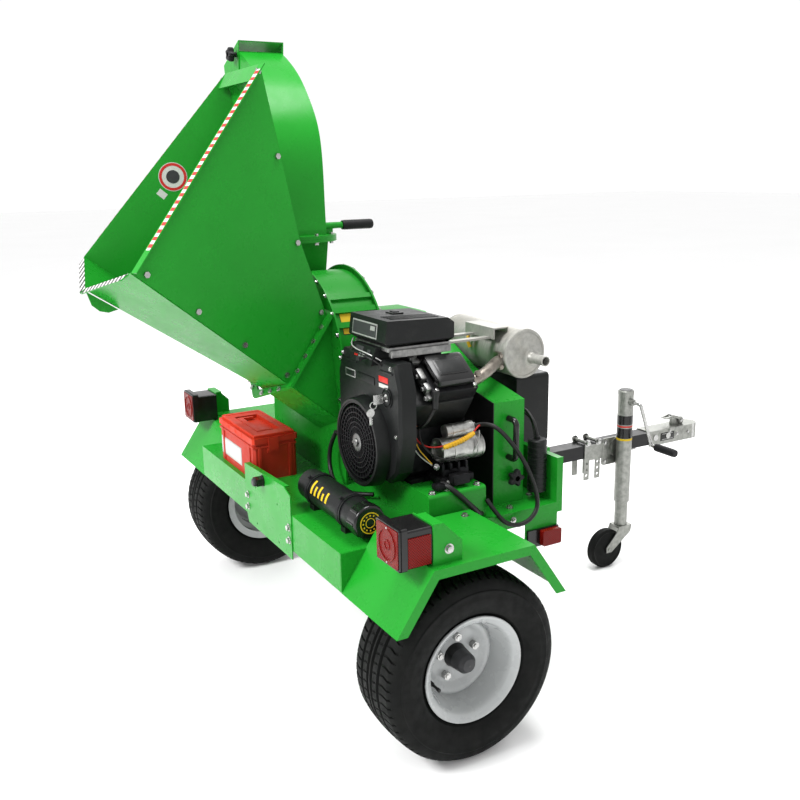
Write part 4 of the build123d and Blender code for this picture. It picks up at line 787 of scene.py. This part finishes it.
def on_cylinder(outward, along, across, y):
    """Point at a distance along a cylinder's axis and across it, on the right (1) or left (-1) bank."""
    x = outward * (along * math.sin(LEAN) + across * math.cos(LEAN))
    return at(ENGINE_X + x, y, CRANK_Z + along * math.cos(LEAN) - across * math.sin(LEAN))


def add_bank_box(bm, outward, along, across, depth, material=0, bevel=0.0):
    """Block lined up with a cylinder bank, from low to high along, across and in Y."""
    corners = [(along[0], across[0]), (along[1], across[0]), (along[1], across[1]), (along[0], across[1])]
    outline = [on_cylinder(outward, a, c, depth[0]) for a, c in corners]
    add_prism(bm, outline, mm(0, depth[1] - depth[0], 0), material, bevel)


def bank_direction(outward):
    """Direction of a cylinder's axis, away from the crankshaft."""
    return Vector((outward * math.sin(LEAN), 0, math.cos(LEAN)))


def make_bank(side_name, outward):
    """Baffle and valve cover with its bolts, of one cylinder bank."""
    bm = bmesh.new()
    add_bank_box(bm, outward, (96, 214), (-70, 70), (20, 222), 0, 9)
    add_bank_box(bm, outward, (206, 252), (-64, 64), (76, 224), 1, 5)
    link("cylinder_baffle_" + side_name, bm, [BLACK_PLASTIC, DARK_ALLOY])
    bm = bmesh.new()
    add_bank_box(bm, outward, (238, 250), (-62, 62), (82, 218), 0, 3)
    add_bank_box(bm, outward, (246, 282), (-53, 53), (88, 212), 0, 13)
    add_bank_box(bm, outward, (280, 284), (-30, 30), (104, 196), 0, 2)
    add_bank_box(bm, outward, (283, 284.6), (-24, 24), (110, 190), 1, 1)
    link("valve_cover_" + side_name, bm, [GLOSS_BLACK, BLACK_PLASTIC])
    bm = bmesh.new()
    direction = bank_direction(outward)
    for across in (-56, 56):
        for y in (88, 212):
            add_hex(bm, on_cylinder(outward, 249, across, y), direction, 6.0, 8.0)
    link("cover_bolts_" + side_name, bm, STEEL)


def make_engine_bracket():
    """Bright lifting bracket and breather plate beside the right valve cover."""
    bm = bmesh.new()
    blocks = [
        ((236, 262), (-66, -44), (58, 84), 5),
        ((232, 258), (-30, 12), (60, 80), 6),
        ((228, 252), (20, 48), (62, 82), 6),
        ((222, 234), (-66, 66), (66, 82), 3),
        ((258, 280), (-74, -58), (64, 76), 4),
    ]
    for along, across, depth, bevel in blocks:
        add_bank_box(bm, 1, along, across, depth, 0, bevel)
    for along, across in ((262, -62), (246, -8), (240, 34), (230, 60)):
        add_hex(bm, on_cylinder(1, along, across, 62), REAR, 6.5, 6.0)
    link("engine_bracket", bm, ALLOY)


def make_intake():
    """Air cleaner base plate, intake body and the grey strip under the cover."""
    bm = bmesh.new()
    add_blocks(bm, [
        ((214, -16, 1024), (414, 186, 1037), 0, 3),
        ((240, 40, 880), (360, 190, 1026), 1, 6),
        ((404, -10, 1010), (424, 180, 1030), 0, 2),
        ((252, -18, 1000), (372, 40, 1026), 1, 4),
    ])
    link("intake_body", bm, [ALLOY, DARK_ALLOY])


def make_air_cleaner_trim():
    """Top ridges, knob and the framed blank label of the air cleaner cover."""
    bm = bmesh.new()
    for i in range(4):
        x = 336 + i * 17
        low, high = (at(x, 4, AIR_TOP - 0.9), at(x, 158, AIR_TOP - 5.7))
        wide = mm(7, 0, 0)
        add_prism(bm, [low, high, high + wide, low + wide], mm(0, 0, 1.9), 0, 0.5)
    add_box(bm, at(262, 60, AIR_TOP - 4), at(306, 96, AIR_TOP + 1.2), 0, 2.0)
    add_box(bm, at(272, 68, AIR_TOP), at(296, 88, AIR_TOP + 4), 0, 2.0)
    link("air_cleaner_ridges", bm, BLACK_PLASTIC)
    bm = bmesh.new()
    out = Vector((0, -1, 0.1)).normalized()
    sheets = [
        (0, 0.8, 0, (226, -29.4, 1056), (372, -24.4, 1098)),
        (0.5, 0.9, 1, (230, -29.1, 1060), (368, -25.2, 1094)),
        (1.2, 0.5, 0, (336, -28, 1078), (362, -26.2, 1090)),
    ]
    for lift, thickness, material, low, high in sheets:
        face = [at(*low), at(high[0], low[1], low[2]), at(*high), at(low[0], high[1], high[2])]
        add_sheet(bm, face, out, lift, thickness, material)
    link("air_cleaner_label", bm, [SILVER_LABEL, GREY_PLASTIC])


def make_shroud_trim():
    """Blank plates, fan ring, key lock, screws and ribs on the rear face of the engine shroud."""
    bm = bmesh.new()
    rear = SHROUD_REAR
    add_blocks(bm, [
        ((166, rear - 1.2, 921), (228, rear + 1, 944), 1, 0.5),
        ((169, rear - 1.6, 924), (225, rear + 1, 941), 0, 0.5),
        ((240, rear - 2.5, 922), (346, rear + 1, 944), 0, 2.0),
        ((372, rear - 1.2, 940), (424, rear + 1, 956), 3, 0.4),
        ((372, rear - 1.2, 924), (424, rear + 1, 935), 4, 0.4),
    ])
    link("shroud_plates", bm, [BLACK_PLASTIC, SILVER_LABEL, GREY_PLASTIC, RED_LABEL, WHITE_LABEL])
    bm = bmesh.new()
    centre = at(ENGINE_X, 0, CRANK_Z)
    add_ring(bm, centre, REAR, [(22, 117.5), (60, 117.5), (64, 119.5), (64, 126), (60, 129), (22, 134)], 96)
    link("fan_volute", bm, BLACK_PLASTIC)
    bm = bmesh.new()
    screws = ((150, 985), (440, 985), (466, 800), (134, 800), (210, 664), (392, 664))
    add_bolts(bm, REAR, 5.0, 4.0, [(x, rear, z) for x, z in screws])
    link("shroud_screws", bm, STEEL)
    bm = bmesh.new()
    for outline in ([(0, 13), (0, 22), (4, 22), (6, 19), (6, 13)], [(0, 26), (3, 26), (3, 29), (0, 29)]):
        add_ring(bm, at(KEY_X, rear, 900), REAR, outline, 40)
    add_box(bm, at(ENGINE_X - 150, rear - 3, 968), at(ENGINE_X - 60, rear + 1, 974), 0, 2)
    add_box(bm, at(ENGINE_X + 80, rear - 3, 968), at(ENGINE_X + 150, rear + 1, 974), 0, 2)
    link("shroud_ribs", bm, BLACK_PLASTIC)


def make_console_trim():
    """Small blank marks on the slanted console, with two loose wires below it."""
    bm = bmesh.new()
    down = Vector((0, -16, -49)).normalized()
    out = Vector((0, -49, 16)).normalized()
    top = at(245, -34, 1034)
    marks = [
        (22, 6, 44, 14, 0),
        (22, 28, 20, 8, 1),
        (48, 26, 12, 10, 2),
        (66, 26, 14, 10, 2),
        (90, 10, 18, 16, 0),
    ]
    for x, low, wide, high, material in marks:
        start = top + mm(x, 0, 0) + down * low * MM
        outline = [start, start + mm(wide, 0, 0), start + mm(wide, 0, 0) + down * high * MM,
                start + down * high * MM]
        add_sheet(bm, outline, out, 0.1, 1.2, material, 0.3)
    link("console_marks", bm, [GREY_PLASTIC, RED_LABEL, SILVER_LABEL])
    tube("console_wire_left", 2.2, CABLE_RUBBER, [(232, -28, 1030), (236, -42, 1018), (262, -56, 1010),
            (300, -58, 1014), (352, -52, 1008), (384, -36, 996), (390, -24, 984)])
    tube("console_wire_right", 1.8, SILVER_LABEL, [(226, -26, 1040), (240, -44, 1028), (290, -54, 1022),
            (344, -50, 1018), (376, -36, 1008), (384, -22, 998)])


def make_hanging_key():
    """Spare key on a ring, hanging from the key in the lock."""
    bm = bmesh.new()
    place = at(KEY_X, -77, 873)
    add_ring(bm, at(KEY_X, -68, 885), RIGHT, [(-1, 9), (-1, 11), (1, 11), (1, 9)], 32)
    add_lathe(bm, place + mm(-1, 0, -8), RIGHT, [(0, 12), (2, 12)], 32)
    add_box(bm, place + mm(-1, -3.5, -42), place + mm(1, 3.5, -16), 0, 0.3)
    for i in range(3):
        tooth = place + mm(0, 0, i * 6)
        add_box(bm, tooth + mm(-1, 2, -40), tooth + mm(1, 5.5, -37))
    link("spare_key", bm, STEEL, "key")


def make_starter_trim():
    """Bands, end cap and bolts of the starter, solenoid caps, and the oil filter bracket below them."""
    bm = bmesh.new()
    centre = at(STARTER_X, 0, STARTER_Z)
    for start in (112, 150, 226, 246):
        add_ring(bm, centre + mm(0, start, 0), FRONT, [(0, 30), (0, 37.4), (5, 37.4), (5, 30)], 56)
    add_lathe(bm, centre + mm(0, 248, 0), FRONT, [(0, 30), (5, 27), (7, 12), (10, 12), (10, 5)], 40)
    for turn in range(0, 360, 120):
        reach = Vector((math.cos(math.radians(turn + 20)), 0, math.sin(math.radians(turn + 20)))) * 0.029
        add_hex(bm, centre + mm(0, 118, 0) + reach, REAR, 4.5, 7)
    add_lathe(bm, at(SOLENOID_X, 222, SOLENOID_Z), FRONT, [(-4, 19.6), (0, 19.6), (2, 17), (2, 6)], 40)
    add_ring(bm, at(SOLENOID_X, 150, SOLENOID_Z), FRONT, [(0, 18), (0, 20.4), (8, 20.4), (8, 18)], 40)
    add_lathe(bm, at(SOLENOID_X, 226, 800), FRONT, [(0, 4), (7, 4)], 16, 1)
    link("starter_caps", bm, [BRIGHT_ALLOY, STEEL])
    bm = bmesh.new()
    add_box(bm, at(424, 96, 646), at(500, 208, 668), 0, 4)
    add_box(bm, at(418, 110, 668), at(492, 196, 688), 0, 4)
    for i in range(4):
        add_box(bm, at(430, 104 + 26 * i, 684), at(496, 112 + 26 * i, 706), 0, 2)
    add_box(bm, at(500, 120, 650), at(530, 176, 680), 0, 5)
    add_box(bm, at(506, 60, 646), at(532, 104, 664), 0, 5)
    link("oil_filter_bracket", bm, [DARK_ALLOY])
    bm = bmesh.new()
    add_bolts(bm, (0.5, -1, 0), 7.0, 7.0, [(486, 92, 700), (500, 118, 652), (452, 26, 700), (430, 22, 812)])
    link("engine_bolts", bm, STEEL)


def make_wiring():
    """Plug lead, wires by the starter, vapour canister with its hoses, and the drain hose."""
    tube("plug_lead", 4.0, CABLE_RUBBER, [(424, 64, 800), (436, 56, 808), (462, 52, 812), (486, 66, 834),
            (492, 84, 872)])
    bm = bmesh.new()
    add_lathe(bm, at(492, 84, 868), (0, 0.05, 1), [(0, 5), (3, 9), (38, 9.5), (42, 11), (52, 11), (56, 8)],
            32)
    link("plug_boot", bm, CABLE_RUBBER)
    tube("wire_white", 1.9, WHITE_LABEL, [(424, 58, 812), (424, 44, 790), (430, 48, 752), (446, 62, 722),
            (468, 88, 700)])
    tube("wire_red", 2.2, RED_WIRE, [(428, 62, 812), (434, 50, 790), (446, 58, 764), (472, 84, 752),
            (492, 128, 760), (500, 170, 776)])
    tube("wire_yellow", 1.7, YELLOW_SLEEVE, [(430, 60, 810), (434, 50, 780), (444, 56, 750),
            (456, 68, 730), (474, 84, 706)])
    tube("wire_black", 2.8, CABLE_RUBBER, [(438, 66, 812), (448, 56, 786), (464, 66, 752), (484, 92, 726),
            (500, 140, 712), (500, 190, 716)])
    tube("wire_sleeve", 6.4, YELLOW_SLEEVE, [(497, 108, 757), (503, 140, 764), (505, 176, 774),
            (500, 206, 784)])
    bm = bmesh.new()
    for i in range(11):
        share = i / 10
        place = at(499 + 6.5 * math.sin(math.pi * share), 118 + 80 * share, 758.5 + 22 * share)
        add_ring(bm, place, (0, 1, 0.25), [(-1.6, 6), (-1.6, 7.8), (1.6, 7.8), (1.6, 6)], 24)
    link("wire_sleeve_ribs", bm, YELLOW_SLEEVE)
    tube("wire_red_end", 2.4, RED_WIRE, [(500, 200, 782), (496, 222, 800), (486, 238, 800),
            (474, 240, 794)])
    tube("wire_pair_end", 2.0, SILVER_LABEL, [(490, 232, 786), (500, 226, 760), (494, 214, 732),
            (482, 204, 714)])
    tube("vapour_hose", 4.6, CABLE_RUBBER, [(400, 438, 800), (424, 435, 810), (465, 430, 800),
            (498, 427, 772), (510, 426, 737)])
    tube("vapour_hose_outer", 4.0, CABLE_RUBBER, [(400, 452, 786), (428, 448, 790), (462, 440, 780),
            (488, 430, 760), (498, 426, 737)])
    bm = bmesh.new()
    ribs = [(0, 25), (2, 28.4)]
    for i in range(9):
        ribs += [(8 + i * 16, 28.4), (9 + i * 16, 27.4), (14 + i * 16, 27.4), (15 + i * 16, 28.4)]
    ribs += [(156, 28.4), (160, 24), (160, 9), (168, 8)]
    add_lathe(bm, at(509, 426, 575), UP, ribs, 48, 0)
    add_box(bm, at(500, 452, 600), at(518, 457, 612), 0, 0.5)
    piece = link("vapour_canister_ribs", bm, BLACK_PLASTIC)
    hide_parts("vapour_canister")
    tube("drain_hose", 8.0, CABLE_RUBBER, [(512, 92, 660), (532, 96, 658), (552, 112, 642),
            (562, 140, 612), (562, 176, 576), (548, 200, 556), (520, 226, 553)])


def make_muffler_trim():
    """Rolled rims, outlet collar, mounting plate, clamp bolts and a small yellow tag."""
    bm = bmesh.new()
    centre = at(0, MUFFLER_Y, MUFFLER_Z)
    add_ring(bm, centre + mm(361, 0, 0), RIGHT, [(0, 72), (0, 76), (6, 77), (16, 75.5), (18, 73), (18, 67),
            (14, 66)], 96)
    add_ring(bm, centre + mm(19, 0, 0), RIGHT, [(0, 66), (-1, 73), (0, 76), (10, 77), (15, 75)], 96)
    add_ring(bm, at(442, 499, 947), RIGHT, [(0, 12.6), (0, 15.6), (6.2, 15.8), (6.2, 12.6)])
    link("muffler_rims", bm, MUFFLER_STEEL)
    bm = bmesh.new()
    add_box(bm, at(330, 392, 920), at(366, 404, 972), 0, 3)
    add_hex(bm, at(436, 262, 936), (1, -0.3, 0.2), 8, 8)
    add_bolts(bm, (1, -0.3, 0), 7, 7, [(362, 398, 962), (362, 398, 928)])
    link("manifold_flange", bm, HOT_STEEL)
    tube("muffler_tag", 5.5, YELLOW_SLEEVE, [(198, 402, 1012), (198, 390, 1004), (202, 386, 990),
            (200, 388, 976), (204, 392, 964)])


# ---------------- knobs, lamps and boxes
def make_star_knob(name, base, direction, radius, height, body, node):
    """Five-lobed knob with rounded lobes and a steel stud."""
    along = Vector(direction).normalized()
    spokes = spokes_of(direction, 80)
    bm = bmesh.new()
    loops = []
    for reach, scale in ((0.34, 0.82), (0.42, 0.97), (0.55, 1.0), (0.8, 1.0), (0.94, 0.95), (1.0, 0.82),
            (1.0, 0.4)):
        loop = []
        for i, spoke in enumerate(spokes):
            r = radius * (0.8 + 0.19 * math.cos(10 * math.pi * i / len(spokes))) * scale
            loop.append(bm.verts.new(base + (along * reach * height + spoke * r) * MM))
        loops.append(loop)
    join_loops(bm, loops)
    add_lathe(bm, base, direction, [(0, radius * 0.33), (height * 0.36, radius * 0.33)], 32)
    add_lathe(bm, base, direction, [(height * 0.99, radius * 0.36), (height * 1.0, radius * 0.3)], 32, 1)
    piece = link(name, bm, [GRAINED, STEEL], body)
    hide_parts(node)


def make_lamp_trim(side_name, outward):
    """Raised frame, lens rings and screws of a tail lamp, and its bracket bolt."""
    bm = bmesh.new()
    x_low, x_high = sorted((outward * (LAMP_X - 55.5), outward * (LAMP_X + 55.5)))
    z_low, z_high = LAMP_Z - 52, LAMP_Z + 52
    add_blocks(bm, [
        ((x_low, -230, z_low), (x_high, -222, z_low + 4), 0, 1.0),
        ((x_low, -230, z_high - 4), (x_high, -222, z_high), 0, 1.0),
        ((x_low, -230, z_low), (x_low + 4, -222, z_high), 0, 1.0),
        ((x_high - 4, -230, z_low), (x_high, -222, z_high), 0, 1.0),
    ])
    add_hex(bm, at(outward * 836, -92, 625), (outward, 0, 0), 9.5, 7, material=1)
    middle = at(outward * LAMP_X, -232, LAMP_Z)
    add_ring(bm, middle, REAR, [(-1, 36), (2.4, 37), (2.4, 41), (-1, 42)], 72, 2)
    add_ring(bm, middle, REAR, [(-1, 9), (1.6, 10), (1.6, 13), (-1, 14)], 40, 2)
    for rise in (-42, 42):
        add_lathe(bm, middle + mm(0, 0, rise), REAR, [(-1, 3.5), (1.5, 3.5), (1.5, 1)], 20, 1)
    link("tail_lamp_rim_" + side_name, bm, [GLOSS_BLACK, STEEL, LENS])


def make_toolbox_trim():
    """Blank label and ribs of the tool box and of its lid."""
    bm = bmesh.new()
    add_box(bm, at(-388, -236.9, 572), at(-196, -235.9, 632), 0, 0.4)
    add_box(bm, at(-380, -237.2, 578), at(-204, -236, 626), 1, 0.4)
    link("toolbox_label", bm, [SILVER_LABEL, WHITE_LABEL])
    bm = bmesh.new()
    for x in (-362, -118):
        add_box(bm, at(x - 7, -239.5, 552), at(x + 7, -235, 664), 0, 2)
    for y in (-214, -112):
        add_box(bm, at(-85, y - 6, 552), at(-80.5, y + 6, 664), 0, 1.6)
    add_box(bm, at(-398, -238.4, 656), at(-82, -234, 664), 0, 1.5)
    add_box(bm, at(-85, -236, 656), at(-80.6, -90, 664), 0, 1.5)
    # Body ribs in the darker copy of the orange plastic, painted shade.
    link("toolbox_ribs", bm, SHADED_ORANGE)
    bm = bmesh.new()
    for x in (-300, -240, -180):
        add_box(bm, at(x - 3, -239.8, 675), at(x + 3, -238, 688), 0, 0.8)
    for x in (-388, -92):
        add_box(bm, at(x - 8, -226, 696.5), at(x + 8, -98, 699.5), 0, 1.5)
    for y in (-226, -98):
        add_box(bm, at(-380, y - 5, 696.5), at(-100, y + 5, 699.5), 0, 1.5)
    link("toolbox_lid_ribs", bm, ORANGE, "box_lid")


def make_canister_trim():
    """Clamps, plain yellow bars and a ring of marks on the cap of the manual canister."""
    bm = bmesh.new()
    centre = at(0, CANISTER_Y, CANISTER_Z)
    for x in (235, 440):
        add_ring(bm, centre + mm(x, 0, 0), RIGHT, [(-6, 49), (-6, 50.2), (6, 50.2), (6, 49)])
        add_hex(bm, at(x, -182, 644), (0, -0.6, 0.8), 5, 9)
    link("canister_bands", bm, GRAINED)
    bm = bmesh.new()
    for i, length in enumerate((52, 34, 44, 26, 38)):
        rolled_label(bm, centre, RIGHT, REAR, (262 + 24 * i, 272 + 24 * i), (8, 8 + length), (46, 46.6))
    link("canister_bars", bm, YELLOW)
    bm = bmesh.new()
    face = at(545, CANISTER_Y, CANISTER_Z)
    for inner, outer in ((27, 30), (12, 14)):
        add_ring(bm, face, RIGHT, [(-0.5, inner), (0.6, inner), (0.6, outer), (-0.5, outer)], 56)
    for i in range(12):
        turn = math.radians(30 * i)
        spot = face + Vector((0, math.cos(turn), math.sin(turn))) * 21 * MM
        add_box(bm, spot + mm(-0.5, -2, -2), spot + mm(0.6, 2, 2))
    link("canister_cap_mark", bm, YELLOW, "manual_cap")


def make_jack_trim():
    """Bands and cap of the jack, and the ribs of its crank grip and of the chute grip."""
    bm = bmesh.new()
    centre = at(JACK_X, JACK_Y, 0)
    bands = [(563, 598, 29.5, 1), (553, 559, 29.5, 3), (510, 549, 29.5, 1), (501, 509, 29.5, 4)]
    for low, high, radius, material in bands:
        add_ring(bm, centre, UP, [(low, 28), (low, radius), (high, radius), (high, 28)], 56, material)
    add_lathe(bm, centre, UP, [(678, 30.2), (690, 30.2), (694, 27), (695, 10)], 56)
    add_lathe(bm, centre, UP, [(694.4, 25), (695.6, 24), (695.8, 5)], 56, 1)
    link("jack_bands", bm, [ZINC, GLOSS_BLACK, GREY_PLASTIC, RED_LABEL, YELLOW], "jack_body")
    bm = bmesh.new()
    for i in range(9):
        add_ring(bm, at(182 + i * 9, 1252, 484), RIGHT, [(0, 13), (0, 14.9), (4, 14.9), (4, 13)], 36)
    link("crank_grip_ribs", bm, GRAINED, "jack_handle")
    bm = bmesh.new()
    for i in range(11):
        add_ring(bm, at(-345, 236 + i * 9.4, 1325), FRONT, [(0, 14), (0, 16.8), (4.4, 16.8), (4.4, 14)], 36)
    link("chute_grip_ribs", bm, GRAINED, "chute_spout")


def make_coupler_trim():
    """Blank plates and bolts of the coupler, and the nuts of the jack mount."""
    bm = bmesh.new()
    add_blocks(bm, [
        ((36.4, 1412, 448), (37.4, 1486, 480), 0, 0.4),
        ((37.2, 1420, 474), (37.7, 1478, 476), 1, 0.3),
        ((37.2, 1420, 452), (37.7, 1478, 454), 1, 0.3),
        ((36.4, 1492, 456), (37.4, 1540, 476), 2, 0.4),
    ])
    link("coupler_plates", bm, [GLOSS_BLACK, SILVER_LABEL, ZINC])
    bm = bmesh.new()
    add_bolts(bm, RIGHT, 5.5, 4, [(36.4, 1460, 484), (36.4, 1500, 466), (36.4, 1560, 466)])
    add_lathe(bm, at(0, 1545, 508), RIGHT, [(16, 8), (18, 8), (19, 5)], 24)
    link("coupler_bolts", bm, STEEL)
    bm = bmesh.new()
    for y in (1037, 1090):
        for outward in (1, -1):
            add_hex(bm, at(outward * 36, y, 500), (outward, 0, 0), 10, 8)
    add_bolts(bm, RIGHT, 8, 4, [(37, 1125, 415), (37, 1210, 490), (37, 1125, 490)])
    link("jack_mount_nuts", bm, STEEL)


def make_deck_fasteners():
    """Bolts of the deck, apron, fenders, engine pedestal and guard."""
    bm = bmesh.new()
    add_bolts(bm, REAR, 8.5, 7, [(x, -256, z) for x in (-100, 232) for z in (467, 507)])
    for outward in (-1, 1):
        add_bolts(bm, UP, 8, 6, [(outward * 600, -110, 589), (outward * 600, 110, 589)])
        add_hex(bm, at(outward * 565, 300, 525), (outward, 0, 0), 7, 5)
        add_hex(bm, at(outward * 540, 461, 640), FRONT, 7, 5)
    add_bolts(bm, UP, 8, 7, [(x, y, 641) for x in (130, 330, 528) for y in (50, 198)])
    guard = ((-330, 830), (-330, 940), (-240, 1026), (-64, 1026), (200, 900), (470, 838), (470, 570),
            (180, 566))
    add_bolts(bm, FRONT, 7, 5, [(x, 390, z) for x, z in guard])
    add_bolts(bm, UP, 8, 6, [(528, 314, 548), (470, 430, 548)])
    link("deck_fasteners", bm, STEEL)


def add_chute_bolts(bm, z, up, height):
    """Circle of bolts on one face of the chute's swivel flange."""
    for i in range(8):
        turn = math.radians(45 * i + 10)
        place = at(CHUTE_X + 122 * math.cos(turn), CHUTE_Y + 122 * math.sin(turn), z)
        add_hex(bm, place, (0, 0, up), 7, height)


def make_housing_fasteners():
    """Bolts along both edges of the housing skin and on the chute's swivel flange."""
    bm = bmesh.new()
    for turn in range(-20, 176, 14):
        if 118 < turn < 160:
            continue
        x = ROTOR_X + 283 * math.cos(math.radians(turn))
        z = ROTOR_Z + 283 * math.sin(math.radians(turn))
        add_hex(bm, at(x, 0, z), REAR, 6, 5)
        add_hex(bm, at(x, 160, z), FRONT, 6, 5)
    add_chute_bolts(bm, 1276, -1, 8)
    link("housing_fasteners", bm, STEEL)
    bm = bmesh.new()
    add_chute_bolts(bm, 1296, 1, 7)
    link("chute_flange_bolts", bm, STEEL, "chute_spout")


def make_apron_trim():
    """Gussets that close the ends of the apron, and the licence plate lamp."""
    bm = bmesh.new()
    for outward in (-1, 1):
        corners = ((-252.5, 440), (-252.5, 547.5), (-130, 547.5), (-130, 440))
        add_prism(bm, [at(outward * 565.3, y, z) for y, z in corners], mm(outward * 3, 0, 0))
    link("apron_gussets", bm, GREEN)
    bm = bmesh.new()
    add_lathe(bm, at(38, -282, 593), REAR, [(-2, 13), (5, 13), (8, 9), (8, 3)], 36)
    add_lathe(bm, at(38, -256, 593), REAR, [(0, 18), (3, 18), (3, 10)], 36, 1)
    link("plate_lamp_trim", bm, [GREY_PLASTIC, GLOSS_BLACK])


make_bank("right", 1)
make_bank("left", -1)
make_engine_bracket()
make_intake()
make_air_cleaner_trim()
make_shroud_trim()
make_console_trim()
make_hanging_key()
make_starter_trim()
make_wiring()
make_muffler_trim()
make_star_knob("guard_star_knob", at(490.3, 348, 628), RIGHT, 27, 30, "guard_clamp", "guard_knob")
make_star_knob("deflector_star_knob", at(-655, -8.8, 1903), REAR, 25, 32, "deflector_clamp",
        "deflector_knob")
for side_name, outward in SIDES:
    make_lamp_trim(side_name, outward)
make_toolbox_trim()
make_canister_trim()
make_jack_trim()
make_coupler_trim()
make_deck_fasteners()
make_housing_fasteners()
make_apron_trim()
make_skin_label()


# ---------------- stage and light
def make_stage():
    """Pale floor, white surroundings and three soft lights."""
    bm = bmesh.new()
    bmesh.ops.create_grid(bm, x_segments=1, y_segments=1, size=40)
    floor = bpy.data.objects.new("floor", to_mesh("floor", bm))
    bpy.context.scene.collection.objects.link(floor)
    shader = Shader("pale_floor")
    cloudy = shader.ramp(shader.noise(0.6), 0.3, 0.7)
    colour = shader.mix(cloudy, (0.93, 0.93, 0.93), (0.95, 0.95, 0.95))
    shader.set(Base_Color=colour, Roughness=0.6, Specular_IOR_Level=0.2)
    floor.data.materials.append(shader.material)
    world = bpy.data.worlds.new("studio")
    bpy.context.scene.world = world
    world.use_nodes = True
    world.node_tree.nodes["Background"].inputs["Color"].default_value = (1.0, 1.0, 1.0, 1.0)
    world.node_tree.nodes["Background"].inputs["Strength"].default_value = 1.03
    bpy.context.scene.view_settings.view_transform = "Standard"
    lights = [
        ("key_light", (0.3, -5.0, 4.4), 1.6, 380),
        ("top_light", (0.2, 0.2, 5.2), 2.0, 190),
        ("rim_light", (-3.5, 3.8, 3.6), 2.5, 90),
    ]
    for name, place, size, power in lights:
        data = bpy.data.lights.new(name, "AREA")
        data.shape = "SQUARE"
        data.size = size
        data.energy = power
        light = bpy.data.objects.new(name, data)
        light.location = place
        light.rotation_euler = (Vector((0, -0.3, 0.8)) - Vector(place)).to_track_quat("-Z", "Y").to_euler()
        bpy.context.scene.collection.objects.link(light)


make_stage()
